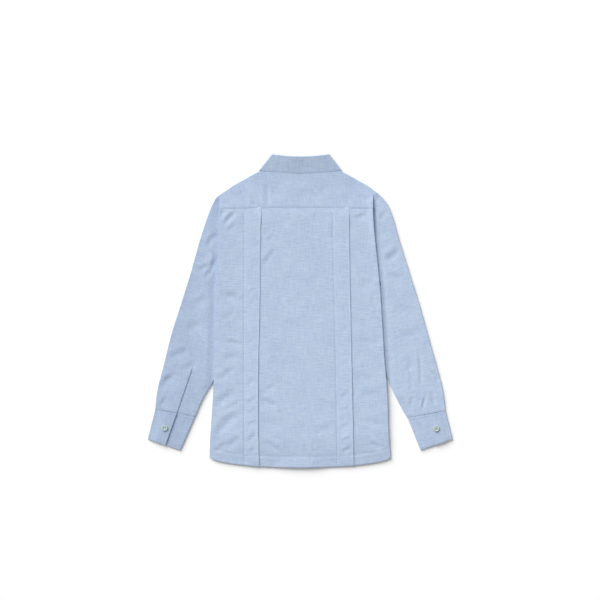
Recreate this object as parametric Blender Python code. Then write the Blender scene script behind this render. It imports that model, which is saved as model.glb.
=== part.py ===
"""A long-sleeved shirt with two raised tucks down its back, laid flat and face down.

Run it with: blender --background --python part.py

Metres, +Z up. The shirt lies on z = 0 with its back up, +Y runs from hem to collar, and +X is to the
right of someone who looks down at the back. The wearer's left is at -X. Tables are in millimetres, and
x in a table is the distance from the shirt's middle line, on the side that the column names.
"""

from collections import namedtuple

import bmesh
import bpy
import numpy as np
from mathutils import Matrix, Vector

MM = 0.001
JOIN_WITHIN = 0.01
ALIKE = 0.01

# Driving sizes, in millimetres.
WALL = 1.0
CUFF_WALL = 1.4
COLLAR_WALL = 1.4
SEAM = 0.3
AIR = 0.6
BODY_HEIGHT = 2 * WALL + AIR
CUFF_HEIGHT = 2 * CUFF_WALL + AIR
YOKE_RAISE = 0.5
YOKE_HEIGHT = BODY_HEIGHT + YOKE_RAISE
TUCK_RAISE = 0.8
TUCK_SLOPE = 0.6
COLLAR_HEIGHT = 9.0
COLLAR_EDGE_HEIGHT = 6.5
BUTTON_DIAMETER = 11.4
BUTTON_THICKNESS = 2.0
BUTTON_HOLE = 1.8
BUTTON_HOLE_PITCH = 2.6

# Where the layers ride on something, in millimetres of height.
OVER_SLEEVE = BODY_HEIGHT + SEAM
OVER_COLLAR = COLLAR_WALL + SEAM
OVER_BUTTON = BUTTON_THICKNESS + SEAM
OVER_LEFT_FRONT = WALL + SEAM
RIGHT_OVER_BUTTON = 3.8
LEFT, RIGHT = -1, 1

# Levels of the body's sides, from hem to shoulder. Above the underarm they are the armholes. Between
# UNDERARM and SLEEVE_LEAVES the body lies on the sleeves, and from COLLAR_POINTS up on the collar.
UNDERARM = 57.0
TURN_ENDS = 85.0
TURN_UNDER = 1.5
TURN_CELLS = 6
SLEEVE_LEAVES = -136.0
SLEEVE_CLEAR = -166.0
COLLAR_CLEAR = 125.0
COLLAR_POINTS = 172.0
Side = namedtuple("Side", "y left right")
SIDES = [
    Side(-276.0, 172.4, 172.4),
    Side(-262.0, 172.0, 171.0),
    Side(-243.0, 171.4, 169.6),
    Side(-213.0, 169.5, 167.8),
    Side(-190.0, 168.0, 167.1),
    Side(SLEEVE_CLEAR, 166.5, 166.8),
    Side(SLEEVE_LEAVES, 164.5, 166.0),
    Side(-91.0, 164.0, 162.3),
    Side(-55.0, 163.8, 160.0),
    Side(-15.0, 162.5, 157.8),
    Side(26.0, 161.2, 155.4),
    Side(UNDERARM, 160.0, 152.5),
    Side(TURN_ENDS, 157.0, 149.8),
    Side(COLLAR_CLEAR, 153.6, 145.5),
    Side(COLLAR_POINTS, 153.1, 142.0),
    Side(194.0, 152.8, 140.2),
    Side(232.0, 152.5, 138.6),
]
# Distances where the cloth starts to rise and is all the way up, from the side or from the middle line.
SLEEVE_RISE = (42.0, 20.0)
MIDDLE_RISE = (58.0, 17.0)
NECK_RISE = (118.0, 84.0)
SIDE_COLUMNS = (10.0, 20.0, 31.0, 42.0)
HEM_DROP = 21.2
HEM_STARTS = -152.0
HEM_SIDE = SIDES[0].y

# The yoke's seam to the back, the shoulder fold and the neck.
YOKE_SEAM_MIDDLE = 196.5
YOKE_SEAM_SIDE = 193.8
YOKE_SEAM_HALF = 150.0
YOKE_TIP_LEVEL = 210.0
FRONT_TIP_LEVEL = 200.0
NECK_HALF = 70.0
NECK_MIDDLE = 266.0
NECK_SIDE = 270.0
FRONT_NECK_DEPTH = 65.0
FRONT_SEAM_AT_NECK = 248.0
FRONT_SEAM_DROP = 22.5
YOKE_COLUMNS = (NECK_HALF, 84.0, 96.0, 109.0, 118.0, 130.0, 140.0, 152.5)
YOKE_TIP_CLEAR = SEAM
YOKE_ROWS = 6
Shoulder = namedtuple("Shoulder", "x y")
SHOULDER = [
    Shoulder(NECK_HALF, 269.8),
    Shoulder(79.0, 264.8),
    Shoulder(90.0, 261.7),
    Shoulder(109.0, 250.8),
    Shoulder(130.0, 238.8),
    Shoulder(138.6, 230.6),
    Shoulder(152.5, 223.4),
]

# The two tucks: x of each edge at the yoke and at the hem, with -X as negative here.
Tuck = namedtuple("Tuck", "top_from top_to hem_from hem_to")
TUCKS = [
    Tuck(-107.2, -74.0, -107.0, -78.4),
    Tuck(61.4, 92.6, 70.6, 102.0),
]

# The sleeves' long edges, from shoulder and underarm to cuff.
Edge = namedtuple("Edge", "left_x left_y right_x right_y")
SLEEVE_OUTER = [
    Edge(152.5, 223.0, 138.8, 230.4),
    Edge(158.1, 216.4, 149.7, 222.1),
    Edge(165.7, 205.0, 164.9, 205.0),
    Edge(174.8, 183.0, 174.4, 182.2),
    Edge(190.4, 136.6, 187.7, 136.6),
    Edge(207.5, 75.8, 206.7, 75.8),
    Edge(226.5, 15.0, 225.7, 15.0),
    Edge(245.5, -45.8, 242.8, -45.8),
    Edge(260.7, -106.6, 259.9, -106.6),
    Edge(272.1, -152.2, 271.3, -152.2),
    Edge(276.2, -188.0, 276.6, -191.0),
]
SLEEVE_INNER = [
    Edge(160.3, 57.0, 152.8, 57.0),
    Edge(153.0, 10.0, 147.0, 10.0),
    Edge(150.0, -50.0, 146.0, -50.0),
    Edge(157.0, -105.0, 156.0, -98.0),
    Edge(164.7, -133.0, 165.9, -127.5),
    Edge(177.1, -152.2, 176.3, -152.2),
    Edge(192.3, -182.6, 191.5, -182.6),
    Edge(200.0, -201.6, 204.5, -204.5),
]
CUFF_END = Edge(290.1, -243.4, 289.8, -243.4)
CUFF_END_INNER = Edge(227.6, -264.7, 228.4, -264.3)
RING_LAG = 1.6

# The wrist slit: its place across the sleeve, and how its two edges lie along the last rings.
SLIT_AT = 0.55
SLIT_GAP = 0.3
SLEEVE_LAP = 8.0
CUFF_LAP = 18.0
Ring = namedtuple("Ring", "along raised lapped")
RINGS = [
    Ring(0.00, 0, 0),
    Ring(0.04, 0, 0),
    Ring(0.09, 0, 0),
    Ring(0.16, 0, 0),
    Ring(0.25, 0, 0),
    Ring(0.35, 0, 0),
    Ring(0.45, 0, 0),
    Ring(0.55, 0, 0),
    Ring(0.65, 0, 0),
    Ring(0.74, 0, 0),
    Ring(0.79, 0, 0),
    Ring(0.82, 1, 0),
    Ring(0.86, 1, 1),
    Ring(0.93, 1, 1),
    Ring(1.00, 1, 1),
]

# Upper sections of a front: its level at the armhole, and its other end, past or short of the middle.
# Up to TURN_ENDS its sections are level, and past the middle they reach OVERLAP.
FrontRow = namedtuple("FrontRow", "outer_y inner_x inner_y")
OVERLAP = 14.0
FRONT_ROWS = [
    FrontRow(108.0, -OVERLAP, COLLAR_CLEAR),
    FrontRow(135.0, -OVERLAP, COLLAR_POINTS),
    FrontRow(155.0, -OVERLAP, 204.8),
    FrontRow(168.0, 12.0, 205.6),
    FrontRow(180.0, 36.0, 214.4),
    FrontRow(190.0, 54.0, 229.1),
]
FRONT_HEM_SHORT = 4.0
FRONT_COLUMNS = (84.0, 58.0, 37.0, 17.0, 0.0)
FRONT_BUTTON_TOP = 168.0
FRONT_BUTTON_STEP = 70.0
FRONT_BUTTONS = 6

# The collar: half its width and its levels at the fold and at the free edge.
COLLAR_FOLD_HALF = 56.4
COLLAR_EDGE_HALF = 79.2
COLLAR_FOLD_MIDDLE = 292.4
COLLAR_FOLD_SIDE = 296.4
COLLAR_EDGE_MIDDLE = 261.4
COLLAR_EDGE_SIDE = 267.0
COLLAR_FRONT_GAP = 3.0
COLLAR_FRONT_FOLD = 236.0
COLLAR_POINT_X = 45.0
COLLAR_POINT_Y = 178.0
STAND_HALF = 69.3
STAND_LAP = 12.0
STAND_CLEAR = 1.2

BLUE = (0.43, 0.53, 0.73, 1.0)
SHELL = (0.72, 0.74, 0.70, 1.0)


def ramp(value, start, end):
    """0 at start and 1 at end, in a straight line between them, so that layers that share rows agree."""
    return np.clip((np.asarray(value, float) - start) / (end - start), 0.0, 1.0)


def mix(a, b, t):
    """The point that is t of the way from a to b."""
    return a + (b - a) * t


def side_x(y, side):
    """How far the body's side is from the middle line at a level."""
    column = [row.left if side == LEFT else row.right for row in SIDES]
    return np.interp(y, [row.y for row in SIDES], column)


def shoulder_y(x):
    """The level of the shoulder fold at a distance from the middle line."""
    return np.interp(np.abs(x), [row.x for row in SHOULDER], [row.y for row in SHOULDER])


def neck_y(x):
    """The level of the back neckline."""
    return NECK_MIDDLE + (NECK_SIDE - NECK_MIDDLE) * (x / NECK_HALF) ** 2


def yoke_seam_y(x):
    """The level of the seam between yoke and back."""
    return YOKE_SEAM_MIDDLE + (YOKE_SEAM_SIDE - YOKE_SEAM_MIDDLE) * (x / YOKE_SEAM_HALF) ** 2


def front_seam_y(x, side):
    """The level of the straight seam between a front and the yoke's front strip."""
    tip = side_x(FRONT_TIP_LEVEL, side)
    low = shoulder_y(tip) - FRONT_SEAM_DROP
    return mix(FRONT_SEAM_AT_NECK, low, (np.abs(x) - NECK_HALF) / (tip - NECK_HALF))


def front_neck_x(y):
    """Half the front neckline's width at a level: a quarter of an ellipse."""
    down = np.clip((NECK_SIDE - y) / FRONT_NECK_DEPTH, 0.0, 1.0)
    return NECK_HALF * np.sqrt(1.0 - down**2)


def lift(x, y, overlap=RIGHT):
    """How high the lower face of the fronts is. The back and the yoke follow the right front.

    The cloth rises over the buttons at the middle, over the collar's front half round the neck, and over
    the sleeve below each underarm. The fourth root of a sum of fourth powers joins the three smoothly.
    """
    away = np.abs(x)
    closed = ramp(y, 262.0, 236.0)
    over_buttons = ramp(y, -262.0, -213.0) * closed
    if overlap == LEFT:
        middle = OVER_BUTTON * over_buttons
    else:
        middle = mix(OVER_LEFT_FRONT, RIGHT_OVER_BUTTON, over_buttons) * closed
    middle = middle * ramp(away, *MIDDLE_RISE)
    neck = OVER_COLLAR * ramp(away, *NECK_RISE) * ramp(y, COLLAR_CLEAR, COLLAR_POINTS)
    edge = np.where(np.asarray(x) < 0, side_x(y, LEFT), side_x(y, RIGHT))
    sleeve = OVER_SLEEVE * ramp(edge - away, *SLEEVE_RISE)
    sleeve = sleeve * ramp(y, TURN_ENDS, UNDERARM) * ramp(y, SLEEVE_CLEAR, SLEEVE_LEAVES)
    return (middle**4 + neck**4 + sleeve**4) ** 0.25


def material(name, colour, roughness):
    """A plain Principled material."""
    made = bpy.data.materials.new(name)
    made.use_nodes = True
    shader = made.node_tree.nodes["Principled BSDF"]
    shader.inputs["Base Color"].default_value = colour
    shader.inputs["Roughness"].default_value = roughness
    shader.inputs["Metallic"].default_value = 0.0
    return made


def split(cell, points):
    """A cell's triangles, cut along its shorter diagonal, or the higher one where they are alike.

    Layers that lie over the same corners are cut the same way, so they keep clear of each other.
    """
    if len(cell) == 3:
        return [cell]
    a, b, c, d = cell
    first = np.linalg.norm(points[a] - points[c])
    second = np.linalg.norm(points[b] - points[d])
    if abs(first - second) < ALIKE * first:
        first, second = points[b][2] + points[d][2], points[a][2] + points[c][2]
    if first <= second:
        return [[a, b, c], [a, c, d]]
    return [[a, b, d], [b, c, d]]


def cloth(name, face, wall=WALL, flip=False, skip=None):
    """A wall of cloth between its outer face and the same face set in by the wall.

    face(inset) gives a grid of rows, columns and x, y, z in millimetres. Points that coincide are joined,
    so a row may close up, and skip(row, column) leaves a cell out. Rims close the wall's open edges.
    """
    outer, inner = face(0.0), face(wall)
    rows, columns, _ = outer.shape
    count = rows * columns
    places = np.round(outer.reshape(-1, 3) / JOIN_WITHIN).astype(int)
    _, first, same = np.unique(places, axis=0, return_index=True, return_inverse=True)
    joined = first[same.reshape(-1)].reshape(rows, columns)
    faces = []
    for row in range(rows - 1):
        for column in range(columns - 1):
            if skip is None or not skip(row, column):
                cell = [joined[row, column], joined[row, column + 1]]
                cell += [joined[row + 1, column + 1], joined[row + 1, column]]
                cell = [int(v) for n, v in enumerate(cell) if v != cell[n - 1]]
                if len(cell) > 2:
                    faces.append(cell[::-1] if flip else cell)
    points = np.concatenate([outer.reshape(-1, 3), inner.reshape(-1, 3)]) * MM
    faces = [part for cell in faces for part in split(cell, points)]
    edges = {(a, b) for cell in faces for a, b in zip(cell, cell[1:] + cell[:1])}
    rims = [(b, a, a + count, b + count) for a, b in sorted(edges) if (b, a) not in edges]
    backs = [[v + count for v in reversed(cell)] for cell in faces]
    mesh = bpy.data.meshes.new(name)
    mesh.from_pydata(points.tolist(), [], faces + backs + rims)
    work = bmesh.new()
    work.from_mesh(mesh)
    loose = [v for v in work.verts if not v.link_faces]
    bmesh.ops.delete(work, geom=loose, context="VERTS")
    work.to_mesh(mesh)
    work.free()
    piece = bpy.data.objects.new(name, mesh)
    bpy.context.collection.objects.link(piece)
    piece.data.materials.append(material(name, BLUE, 0.85))
    return piece


def arc(count):
    """Cosines and sines of a half turn, from straight up to straight down, without its two ends."""
    angle = np.radians(np.linspace(90.0, -90.0, count + 2)[1:-1])
    return np.cos(angle), np.sin(angle)


def tuck_lines(y):
    """The x of the tucks' edges at a level, from left to right."""
    down = (YOKE_SEAM_MIDDLE - y) / (YOKE_SEAM_MIDDLE - HEM_SIDE)
    lines = []
    for tuck in TUCKS:
        lines.append(mix(tuck.top_from, tuck.hem_from, down))
        lines.append(mix(tuck.top_to, tuck.hem_to, down))
    return lines


def back_across(y, half):
    """The x of the back's upper columns at a level, and how far each is raised by a tuck."""
    first, second, third, fourth = tuck_lines(y)
    offsets = np.array((half,) + SIDE_COLUMNS)
    rise, level = MIDDLE_RISE
    middle = [-rise, (-rise - level) / 2, -level, level, (rise + level) / 2, rise]
    plain = [
        np.append(offsets - side_x(y, LEFT), first - TUCK_SLOPE),
        np.array([second + TUCK_SLOPE] + middle + [third - TUCK_SLOPE]),
        np.append(fourth + TUCK_SLOPE, side_x(y, RIGHT) - offsets[::-1]),
    ]
    raised = [
        np.linspace(first + TUCK_SLOPE, second - TUCK_SLOPE, 3),
        np.linspace(third + TUCK_SLOPE, fourth - TUCK_SLOPE, 3),
    ]
    runs = [plain[0], raised[0], plain[1], raised[1], plain[2]]
    rise = [np.full(len(run), TUCK_RAISE * (i % 2)) for i, run in enumerate(runs)]
    return np.concatenate(runs), np.concatenate(rise)


def hem_drop(x, y):
    """How far the rows near the hem bow down: half an ellipse at the hem, nothing from HEM_STARTS up."""
    out = np.clip(np.abs(x) / SIDES[0].left, 0.0, 1.0)
    return HEM_DROP * np.sqrt(1.0 - out**2) * ramp(y, HEM_STARTS, HEM_SIDE)


def back_face(inset):
    """The back's outer face. Below the underarm its sides turn round and under to the fronts."""
    cosine, sine = arc(4)
    radius = BODY_HEIGHT / 2
    levels = [row.y for row in SIDES if row.y <= YOKE_SEAM_SIDE + 1.0]
    grid = []
    for level in levels:
        turned = level <= UNDERARM
        x, rise = back_across(level, radius if turned else SEAM)
        y = level - hem_drop(x, level)
        if level == levels[-1]:
            y = yoke_seam_y(x) - SEAM / 2
        low = lift(x, y)
        top = np.stack([x, y, low + BODY_HEIGHT + rise - inset], axis=1)
        ends = []
        for index, side in ((0, LEFT), (-1, RIGHT)):
            edge = np.tile(top[index], (len(cosine) + 2, 1))
            if turned:
                edge[:-2, 0] += side * (radius - inset) * cosine
                edge[:-2, 2] = low[index] + radius + (radius - inset) * sine
                edge[-2:, 2] = low[index] + inset
                edge[-1, 0] -= side * TURN_UNDER
            ends.append(edge)
        grid.append(np.concatenate([ends[0][::-1], top, ends[1]]))
    return np.array(grid)


def past_turn(row, column):
    """True for a cell of the back's turned sides above the underarm, where they stop."""
    turned_rows = sum(side.y <= UNDERARM for side in SIDES)
    columns = len(back_across(UNDERARM, SEAM)[0]) + 2 * TURN_CELLS
    return row >= turned_rows - 1 and not TURN_CELLS <= column < columns - TURN_CELLS - 1


def front_face(inset, side):
    """A plain front's lower face, which lies on the surface. It meets the back's turned side."""
    clear = BODY_HEIGHT / 2 + TURN_UNDER + SEAM
    tip = side_x(FRONT_TIP_LEVEL, side)
    top = FrontRow(front_seam_y(tip, side) - SEAM, NECK_HALF - 4.0, FRONT_SEAM_AT_NECK - SEAM)
    level_rows = [FrontRow(row.y, -OVERLAP, row.y) for row in SIDES if row.y <= TURN_ENDS]
    grid = []
    for row in level_rows + FRONT_ROWS + [top]:
        edge = side_x(row.outer_y, side)
        outer = edge - (clear if row.outer_y <= UNDERARM else SEAM)
        columns = np.array([outer] + [edge - c for c in SIDE_COLUMNS] + list(FRONT_COLUMNS) + [-OVERLAP])
        across = (outer - columns) / (outer + OVERLAP)
        x = side * mix(outer, row.inner_x, across)
        y = mix(row.outer_y, row.inner_y, across) - hem_drop(x, row.outer_y)
        if row is level_rows[0]:
            y = y + FRONT_HEM_SHORT
        grid.append(np.stack([x, y, lift(x, y, side) + inset], axis=1))
    return np.array(grid)


def yoke_row(fraction, along, height, inset):
    """One row of the yoke: fraction of the way up its upper layer, or part of the way along a strip.

    along(x, side, fold) is the step in y past the fold line, and height the share of the yoke's height.
    """
    outward = (np.array(YOKE_COLUMNS) - NECK_HALF) / (YOKE_COLUMNS[-1] - NECK_HALF)
    inward = np.array(FRONT_COLUMNS[1:-1])
    inward = np.concatenate([-inward, [0.0], inward[::-1]])
    radius = YOKE_HEIGHT / 2
    ends = []
    for side, order in ((LEFT, -1), (RIGHT, 1)):
        x = mix(NECK_HALF, side_x(YOKE_TIP_LEVEL, side) - YOKE_TIP_CLEAR, outward)
        fold = shoulder_y(x) - radius
        y = mix(yoke_seam_y(x) + SEAM / 2, fold, fraction) + along(x, side, fold)
        x = mix(NECK_HALF, side_x(y, side) - YOKE_TIP_CLEAR, outward)
        ends.append((side * x[::order], y[::order]))
    middle = mix(yoke_seam_y(inward) + SEAM / 2, neck_y(inward) - radius, fraction)
    x = np.concatenate([ends[0][0], inward, ends[1][0]])
    y = np.concatenate([ends[0][1], middle, ends[1][1]])
    return np.stack([x, y, lift(x, y) + radius + (radius - inset) * height], axis=1)


def yoke_face(inset):
    """The yoke's outer face: over the upper back, round the shoulder folds, and down the front strips."""
    count = len(YOKE_COLUMNS)
    radius = YOKE_HEIGHT / 2
    rows = []
    for fraction in np.linspace(0.0, 1.0, YOKE_ROWS):
        rows.append(yoke_row(fraction, lambda x, side, fold: 0.0, 1.0, inset))
    for cosine, sine in zip(*arc(4)):
        reach = (radius - inset) * cosine
        rows.append(yoke_row(1.0, lambda x, side, fold: reach, sine, inset))
    for part in (0.0, 0.5, 1.0):

        def down(x, side, fold):
            """A part of the way down the front strip."""
            return (front_seam_y(x, side) + SEAM / 2 - fold) * part

        rows.append(yoke_row(1.0, down, -1.0, inset))
    grid = np.array(rows)
    for strip in grid[-2:]:
        for index, side in ((count - 1, LEFT), (-count, RIGHT)):
            strip[index, 0] = side * (front_neck_x(strip[index, 1]) + SEAM)
    return grid


def over_neck(row, column):
    """True for a cell of the yoke's fold or front strip that would cross the neck."""
    first = len(YOKE_COLUMNS) - 1
    last = first + 2 * (len(FRONT_COLUMNS) - 2) + 1
    return row >= YOKE_ROWS - 1 and first <= column <= last


def edge_points(table, side):
    """A table's points on one side, as x, y rows."""
    if side == LEFT:
        return np.array([(-row.left_x, row.left_y) for row in table])
    return np.array([(row.right_x, row.right_y) for row in table])


def along_edge(points, fraction):
    """The point at a fraction of a polyline's length."""
    steps = np.hypot(*np.diff(points, axis=0).T)
    run = np.concatenate([[0.0], np.cumsum(steps)]) / steps.sum()
    return np.array([np.interp(fraction, run, points[:, 0]), np.interp(fraction, run, points[:, 1])])


def across_edge(points, fraction, side):
    """The unit vector to the right of a wearer's-right edge, and to the left of a left one, at a point."""
    ahead = along_edge(points, min(fraction + 0.03, 1.0))
    behind = along_edge(points, max(fraction - 0.03, 0.0))
    tangent = (ahead - behind) / np.hypot(*(ahead - behind))
    return side * np.array([-tangent[1], tangent[0]])


def tube_ring(ends, outward, height, wall, slit, inset):
    """One flattened ring round a sleeve or cuff, from the slit's lower edge round to its upper one.

    ends are the ring's outer and inner extremes seen from above, and outward the unit vectors in which
    its two sides bulge. slit says whether the upper edge is raised, whether the lower edge passes under
    it, and how far.
    """
    radius = height / 2
    cosine, sine = arc(4)
    start = ends[0] - radius * outward[0]
    chord = ends[1] - radius * outward[1] - start
    length = float(np.hypot(*chord))
    raised, lapped, lap = slit
    gap = SLIT_GAP / 2 * raised
    slit_s = SLIT_AT * length
    lower = slit_s - lap if lapped else slit_s + gap
    near = np.concatenate([[lower], np.linspace(slit_s + 1.0, length, 4)])
    under = np.linspace(length, 0.0, 7)
    over = np.array([0.0, 0.5, 1.0]) * (slit_s - lap - 8.0)
    flap = np.concatenate([over, [slit_s - lap - 2.0, slit_s - gap]])
    rise = np.array([0.0, 0.0, 0.0, 1.0, 1.0]) * raised * (wall + SEAM)

    def straight(s, z):
        """Points at distances along the chord, at heights."""
        flat = start + np.outer(s / length, chord)
        return np.column_stack([flat, np.broadcast_to(z, s.shape)])

    def bulge(end, direction, order):
        """The turned side at one end, from top to bottom or back."""
        flat = end + np.outer((radius - inset) * cosine, direction)
        return np.column_stack([flat, radius + (radius - inset) * sine])[::order]

    return [
        straight(near, height - inset),
        bulge(start + chord, outward[1], 1),
        straight(under, inset),
        bulge(start, outward[0], -1),
        straight(flap, height - inset + rise),
    ]


def sleeve_face(inset, side):
    """A sleeve as a flattened tube. Its first ring follows the armhole, and it is slit at the wrist."""
    outer = edge_points(SLEEVE_OUTER, side)
    inner = edge_points(SLEEVE_INNER, side)
    rings = []
    for ring in RINGS:
        lag = ring.along**RING_LAG
        ends = (along_edge(outer, ring.along), along_edge(inner, lag))
        outward = (across_edge(outer, ring.along, side), -across_edge(inner, lag, side))
        if ring is RINGS[0]:
            outward = np.array([(0.0, 1.0), (0.0, -1.0)])
        slit = (ring.raised, ring.lapped, SLEEVE_LAP)
        runs = tube_ring(ends, outward, BODY_HEIGHT, WALL, slit, inset)
        rings.append(np.concatenate(runs))
        if ring is RINGS[0]:
            rings[0][:, 0] = side * side_x(rings[0][:, 1], side)
    return np.array(rings)


def cuff_face(inset, side):
    """A cuff as a flattened tube, closed by its button where one end laps over the other."""
    outer = edge_points([SLEEVE_OUTER[-1], CUFF_END], side)
    inner = edge_points([SLEEVE_INNER[-1], CUFF_END_INNER], side)
    outward = (across_edge(outer, 0.5, side), -across_edge(inner, 0.5, side))
    first = SEAM / np.hypot(*(outer[1] - outer[0]))
    rings = []
    for part in (first, 0.5, 1.0):
        ends = (mix(outer[0], outer[1], part), mix(inner[0], inner[1], part))
        rings.append(np.concatenate(tube_ring(ends, outward, CUFF_HEIGHT, CUFF_WALL, (1, 1, CUFF_LAP), inset)))
    return np.array(rings)


def neck_ring(half, turn, back, side_level, fronts, inset):
    """One row round the neck, from the left front end over the back to the right front end.

    half is half its width, turn the radius and centre height of its sides, back holds the x and y of its
    upper layer, and fronts the x, y, z of its two lower ends, each from the side inwards.
    """
    cosine, sine = arc(5)
    radius, centre = turn
    over = np.stack([back[0], back[1], np.full(len(back[0]), centre + radius - inset)], axis=1)
    turns = []
    for side in (LEFT, RIGHT):
        x = side * (half - radius + (radius - inset) * cosine)
        z = centre + (radius - inset) * sine
        turns.append(np.stack([x, np.full(5, side_level), z], axis=1))
    for front in fronts:
        front[:, 2] += inset
    return np.concatenate([fronts[0][::-1], turns[0][::-1], over, turns[1], fronts[1]])


def collar_face(inset):
    """The collar's fall: from the fold at the top of the neck down over the yoke, and its two points."""
    rows = []
    inwards = np.linspace(0.0, 1.0, 7)
    for down in (0.0, 0.33, 0.67, 1.0):
        half = mix(COLLAR_FOLD_HALF, COLLAR_EDGE_HALF, down)
        radius = mix(COLLAR_HEIGHT, COLLAR_EDGE_HEIGHT, down) / 2
        straight = half - radius
        x = np.linspace(-straight, straight, 9)
        bow = (x / straight) ** 2
        fold = mix(COLLAR_FOLD_MIDDLE, COLLAR_FOLD_SIDE, bow)
        edge = mix(COLLAR_EDGE_MIDDLE, COLLAR_EDGE_SIDE, bow)
        side_level = mix(COLLAR_FOLD_SIDE, COLLAR_EDGE_SIDE, down)
        front_x = mix(straight, mix(COLLAR_FRONT_GAP, COLLAR_POINT_X, down), inwards)
        front_fold = mix(COLLAR_FRONT_FOLD, COLLAR_FOLD_SIDE, (1.0 - inwards) ** 2)
        front_edge = mix(COLLAR_EDGE_SIDE, COLLAR_POINT_Y, inwards)
        front_y = mix(front_fold, front_edge, down)
        fronts = [np.stack([s * front_x, front_y, np.zeros(7)], axis=1) for s in (LEFT, RIGHT)]
        back = (x, mix(fold, edge, down))
        rows.append(neck_ring(half, (radius, radius), back, side_level, fronts, inset))
    return np.array(rows)


def stand_face(inset):
    """The stand: from the neckline up to the fold, inside the fall, its ends lapped at the front."""
    low_radius = YOKE_HEIGHT / 2
    high_radius = COLLAR_HEIGHT / 2 - COLLAR_WALL - SEAM
    high_half = COLLAR_FOLD_HALF - COLLAR_WALL - SEAM
    angle = np.radians(np.linspace(0.0, 90.0, 8))
    rows = []
    for up in (0.0, 0.5, 1.0):
        half = mix(STAND_HALF, high_half, up)
        radius = mix(low_radius, high_radius, up)
        centre = mix(OVER_COLLAR + low_radius, COLLAR_HEIGHT / 2, up)
        straight = half - radius
        x = np.linspace(-straight, straight, 9)
        fold = mix(COLLAR_FOLD_MIDDLE, COLLAR_FOLD_SIDE, (x / straight) ** 2) - STAND_CLEAR
        y = mix(neck_y(x) + SEAM, fold, up)
        side_level = mix(NECK_SIDE + 2 * SEAM, COLLAR_FOLD_SIDE - STAND_CLEAR, up)
        low = side_level - mix(FRONT_NECK_DEPTH, COLLAR_FOLD_SIDE - COLLAR_FRONT_FOLD, up)
        front_x = np.append(straight * np.cos(angle), -STAND_LAP)
        front_y = np.append(mix(side_level, low, np.sin(angle)), low)
        fronts = []
        for side in (LEFT, RIGHT):
            z = lift(side * front_x, front_y, side)
            fronts.append(np.stack([side * front_x, front_y, z], axis=1))
        rows.append(neck_ring(half, (radius, centre), (x, y), side_level, fronts, inset))
    return np.array(rows)


def button_mesh():
    """A four-hole shirt button with a rounded rim and a shallow dish, centred on the origin."""
    radius = BUTTON_DIAMETER / 2
    half = BUTTON_THICKNESS / 2
    profile = [
        (0.0, half - 0.4),
        (radius - 2.2, half - 0.4),
        (radius - 1.5, half),
        (radius - 0.6, half),
        (radius, half - 0.6),
        (radius, 0.2 - half),
        (radius - 0.5, -half),
        (0.0, -half),
    ]
    work = bmesh.new()
    points = [work.verts.new((r * MM, 0.0, z * MM)) for r, z in profile]
    edges = [work.edges.new(pair) for pair in zip(points, points[1:])]
    bmesh.ops.spin(
        work, geom=points + edges, axis=(0, 0, 1), cent=(0, 0, 0), angle=2 * np.pi, steps=28, use_merge=True
    )
    bmesh.ops.remove_doubles(work, verts=work.verts, dist=0.000001)
    bmesh.ops.recalc_face_normals(work, faces=work.faces)
    mesh = bpy.data.meshes.new("button")
    work.to_mesh(mesh)
    work.free()
    return mesh


def hole_cutter(button):
    """Four pins that cut the button's holes, hidden and following the button."""
    work = bmesh.new()
    for x in (-1, 1):
        for y in (-1, 1):
            place = Matrix.Translation(Vector((x, y, 0)) * BUTTON_HOLE_PITCH / 2 * MM)
            bmesh.ops.create_cone(
                work,
                cap_ends=True,
                segments=10,
                radius1=BUTTON_HOLE / 2 * MM,
                radius2=BUTTON_HOLE / 2 * MM,
                depth=2 * BUTTON_THICKNESS * MM,
                matrix=place,
            )
    mesh = bpy.data.meshes.new(button.name + "_holes")
    work.to_mesh(mesh)
    work.free()
    cutter = bpy.data.objects.new(mesh.name, mesh)
    bpy.context.collection.objects.link(cutter)
    cutter.parent = button
    cutter.hide_render = True
    cutter.display_type = "WIRE"
    return cutter


def make_button(name, x, y, low, mesh):
    """A button lying flat, its lower face at a height in millimetres. On the surface it faces down."""
    button = bpy.data.objects.new(name, mesh.copy())
    bpy.context.collection.objects.link(button)
    button.location = Vector((x, y, low + BUTTON_THICKNESS / 2)) * MM
    if low < SEAM:
        button.data.transform(Matrix.Rotation(np.pi, 4, "X"))
    button.data.materials.append(material(name, SHELL, 0.3))
    cut = button.modifiers.new("holes", "BOOLEAN")
    cut.operation = "DIFFERENCE"
    cut.object = hole_cutter(button)
    return button


def cuff_button_place(side):
    """Where the cuff's button is: a little in from the flap's edge, half way down the cuff."""
    outer = edge_points([SLEEVE_OUTER[-1], CUFF_END], side).mean(axis=0)
    inner = edge_points([SLEEVE_INNER[-1], CUFF_END_INNER], side).mean(axis=0)
    return mix(outer, inner, SLIT_AT - 0.18)


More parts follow.
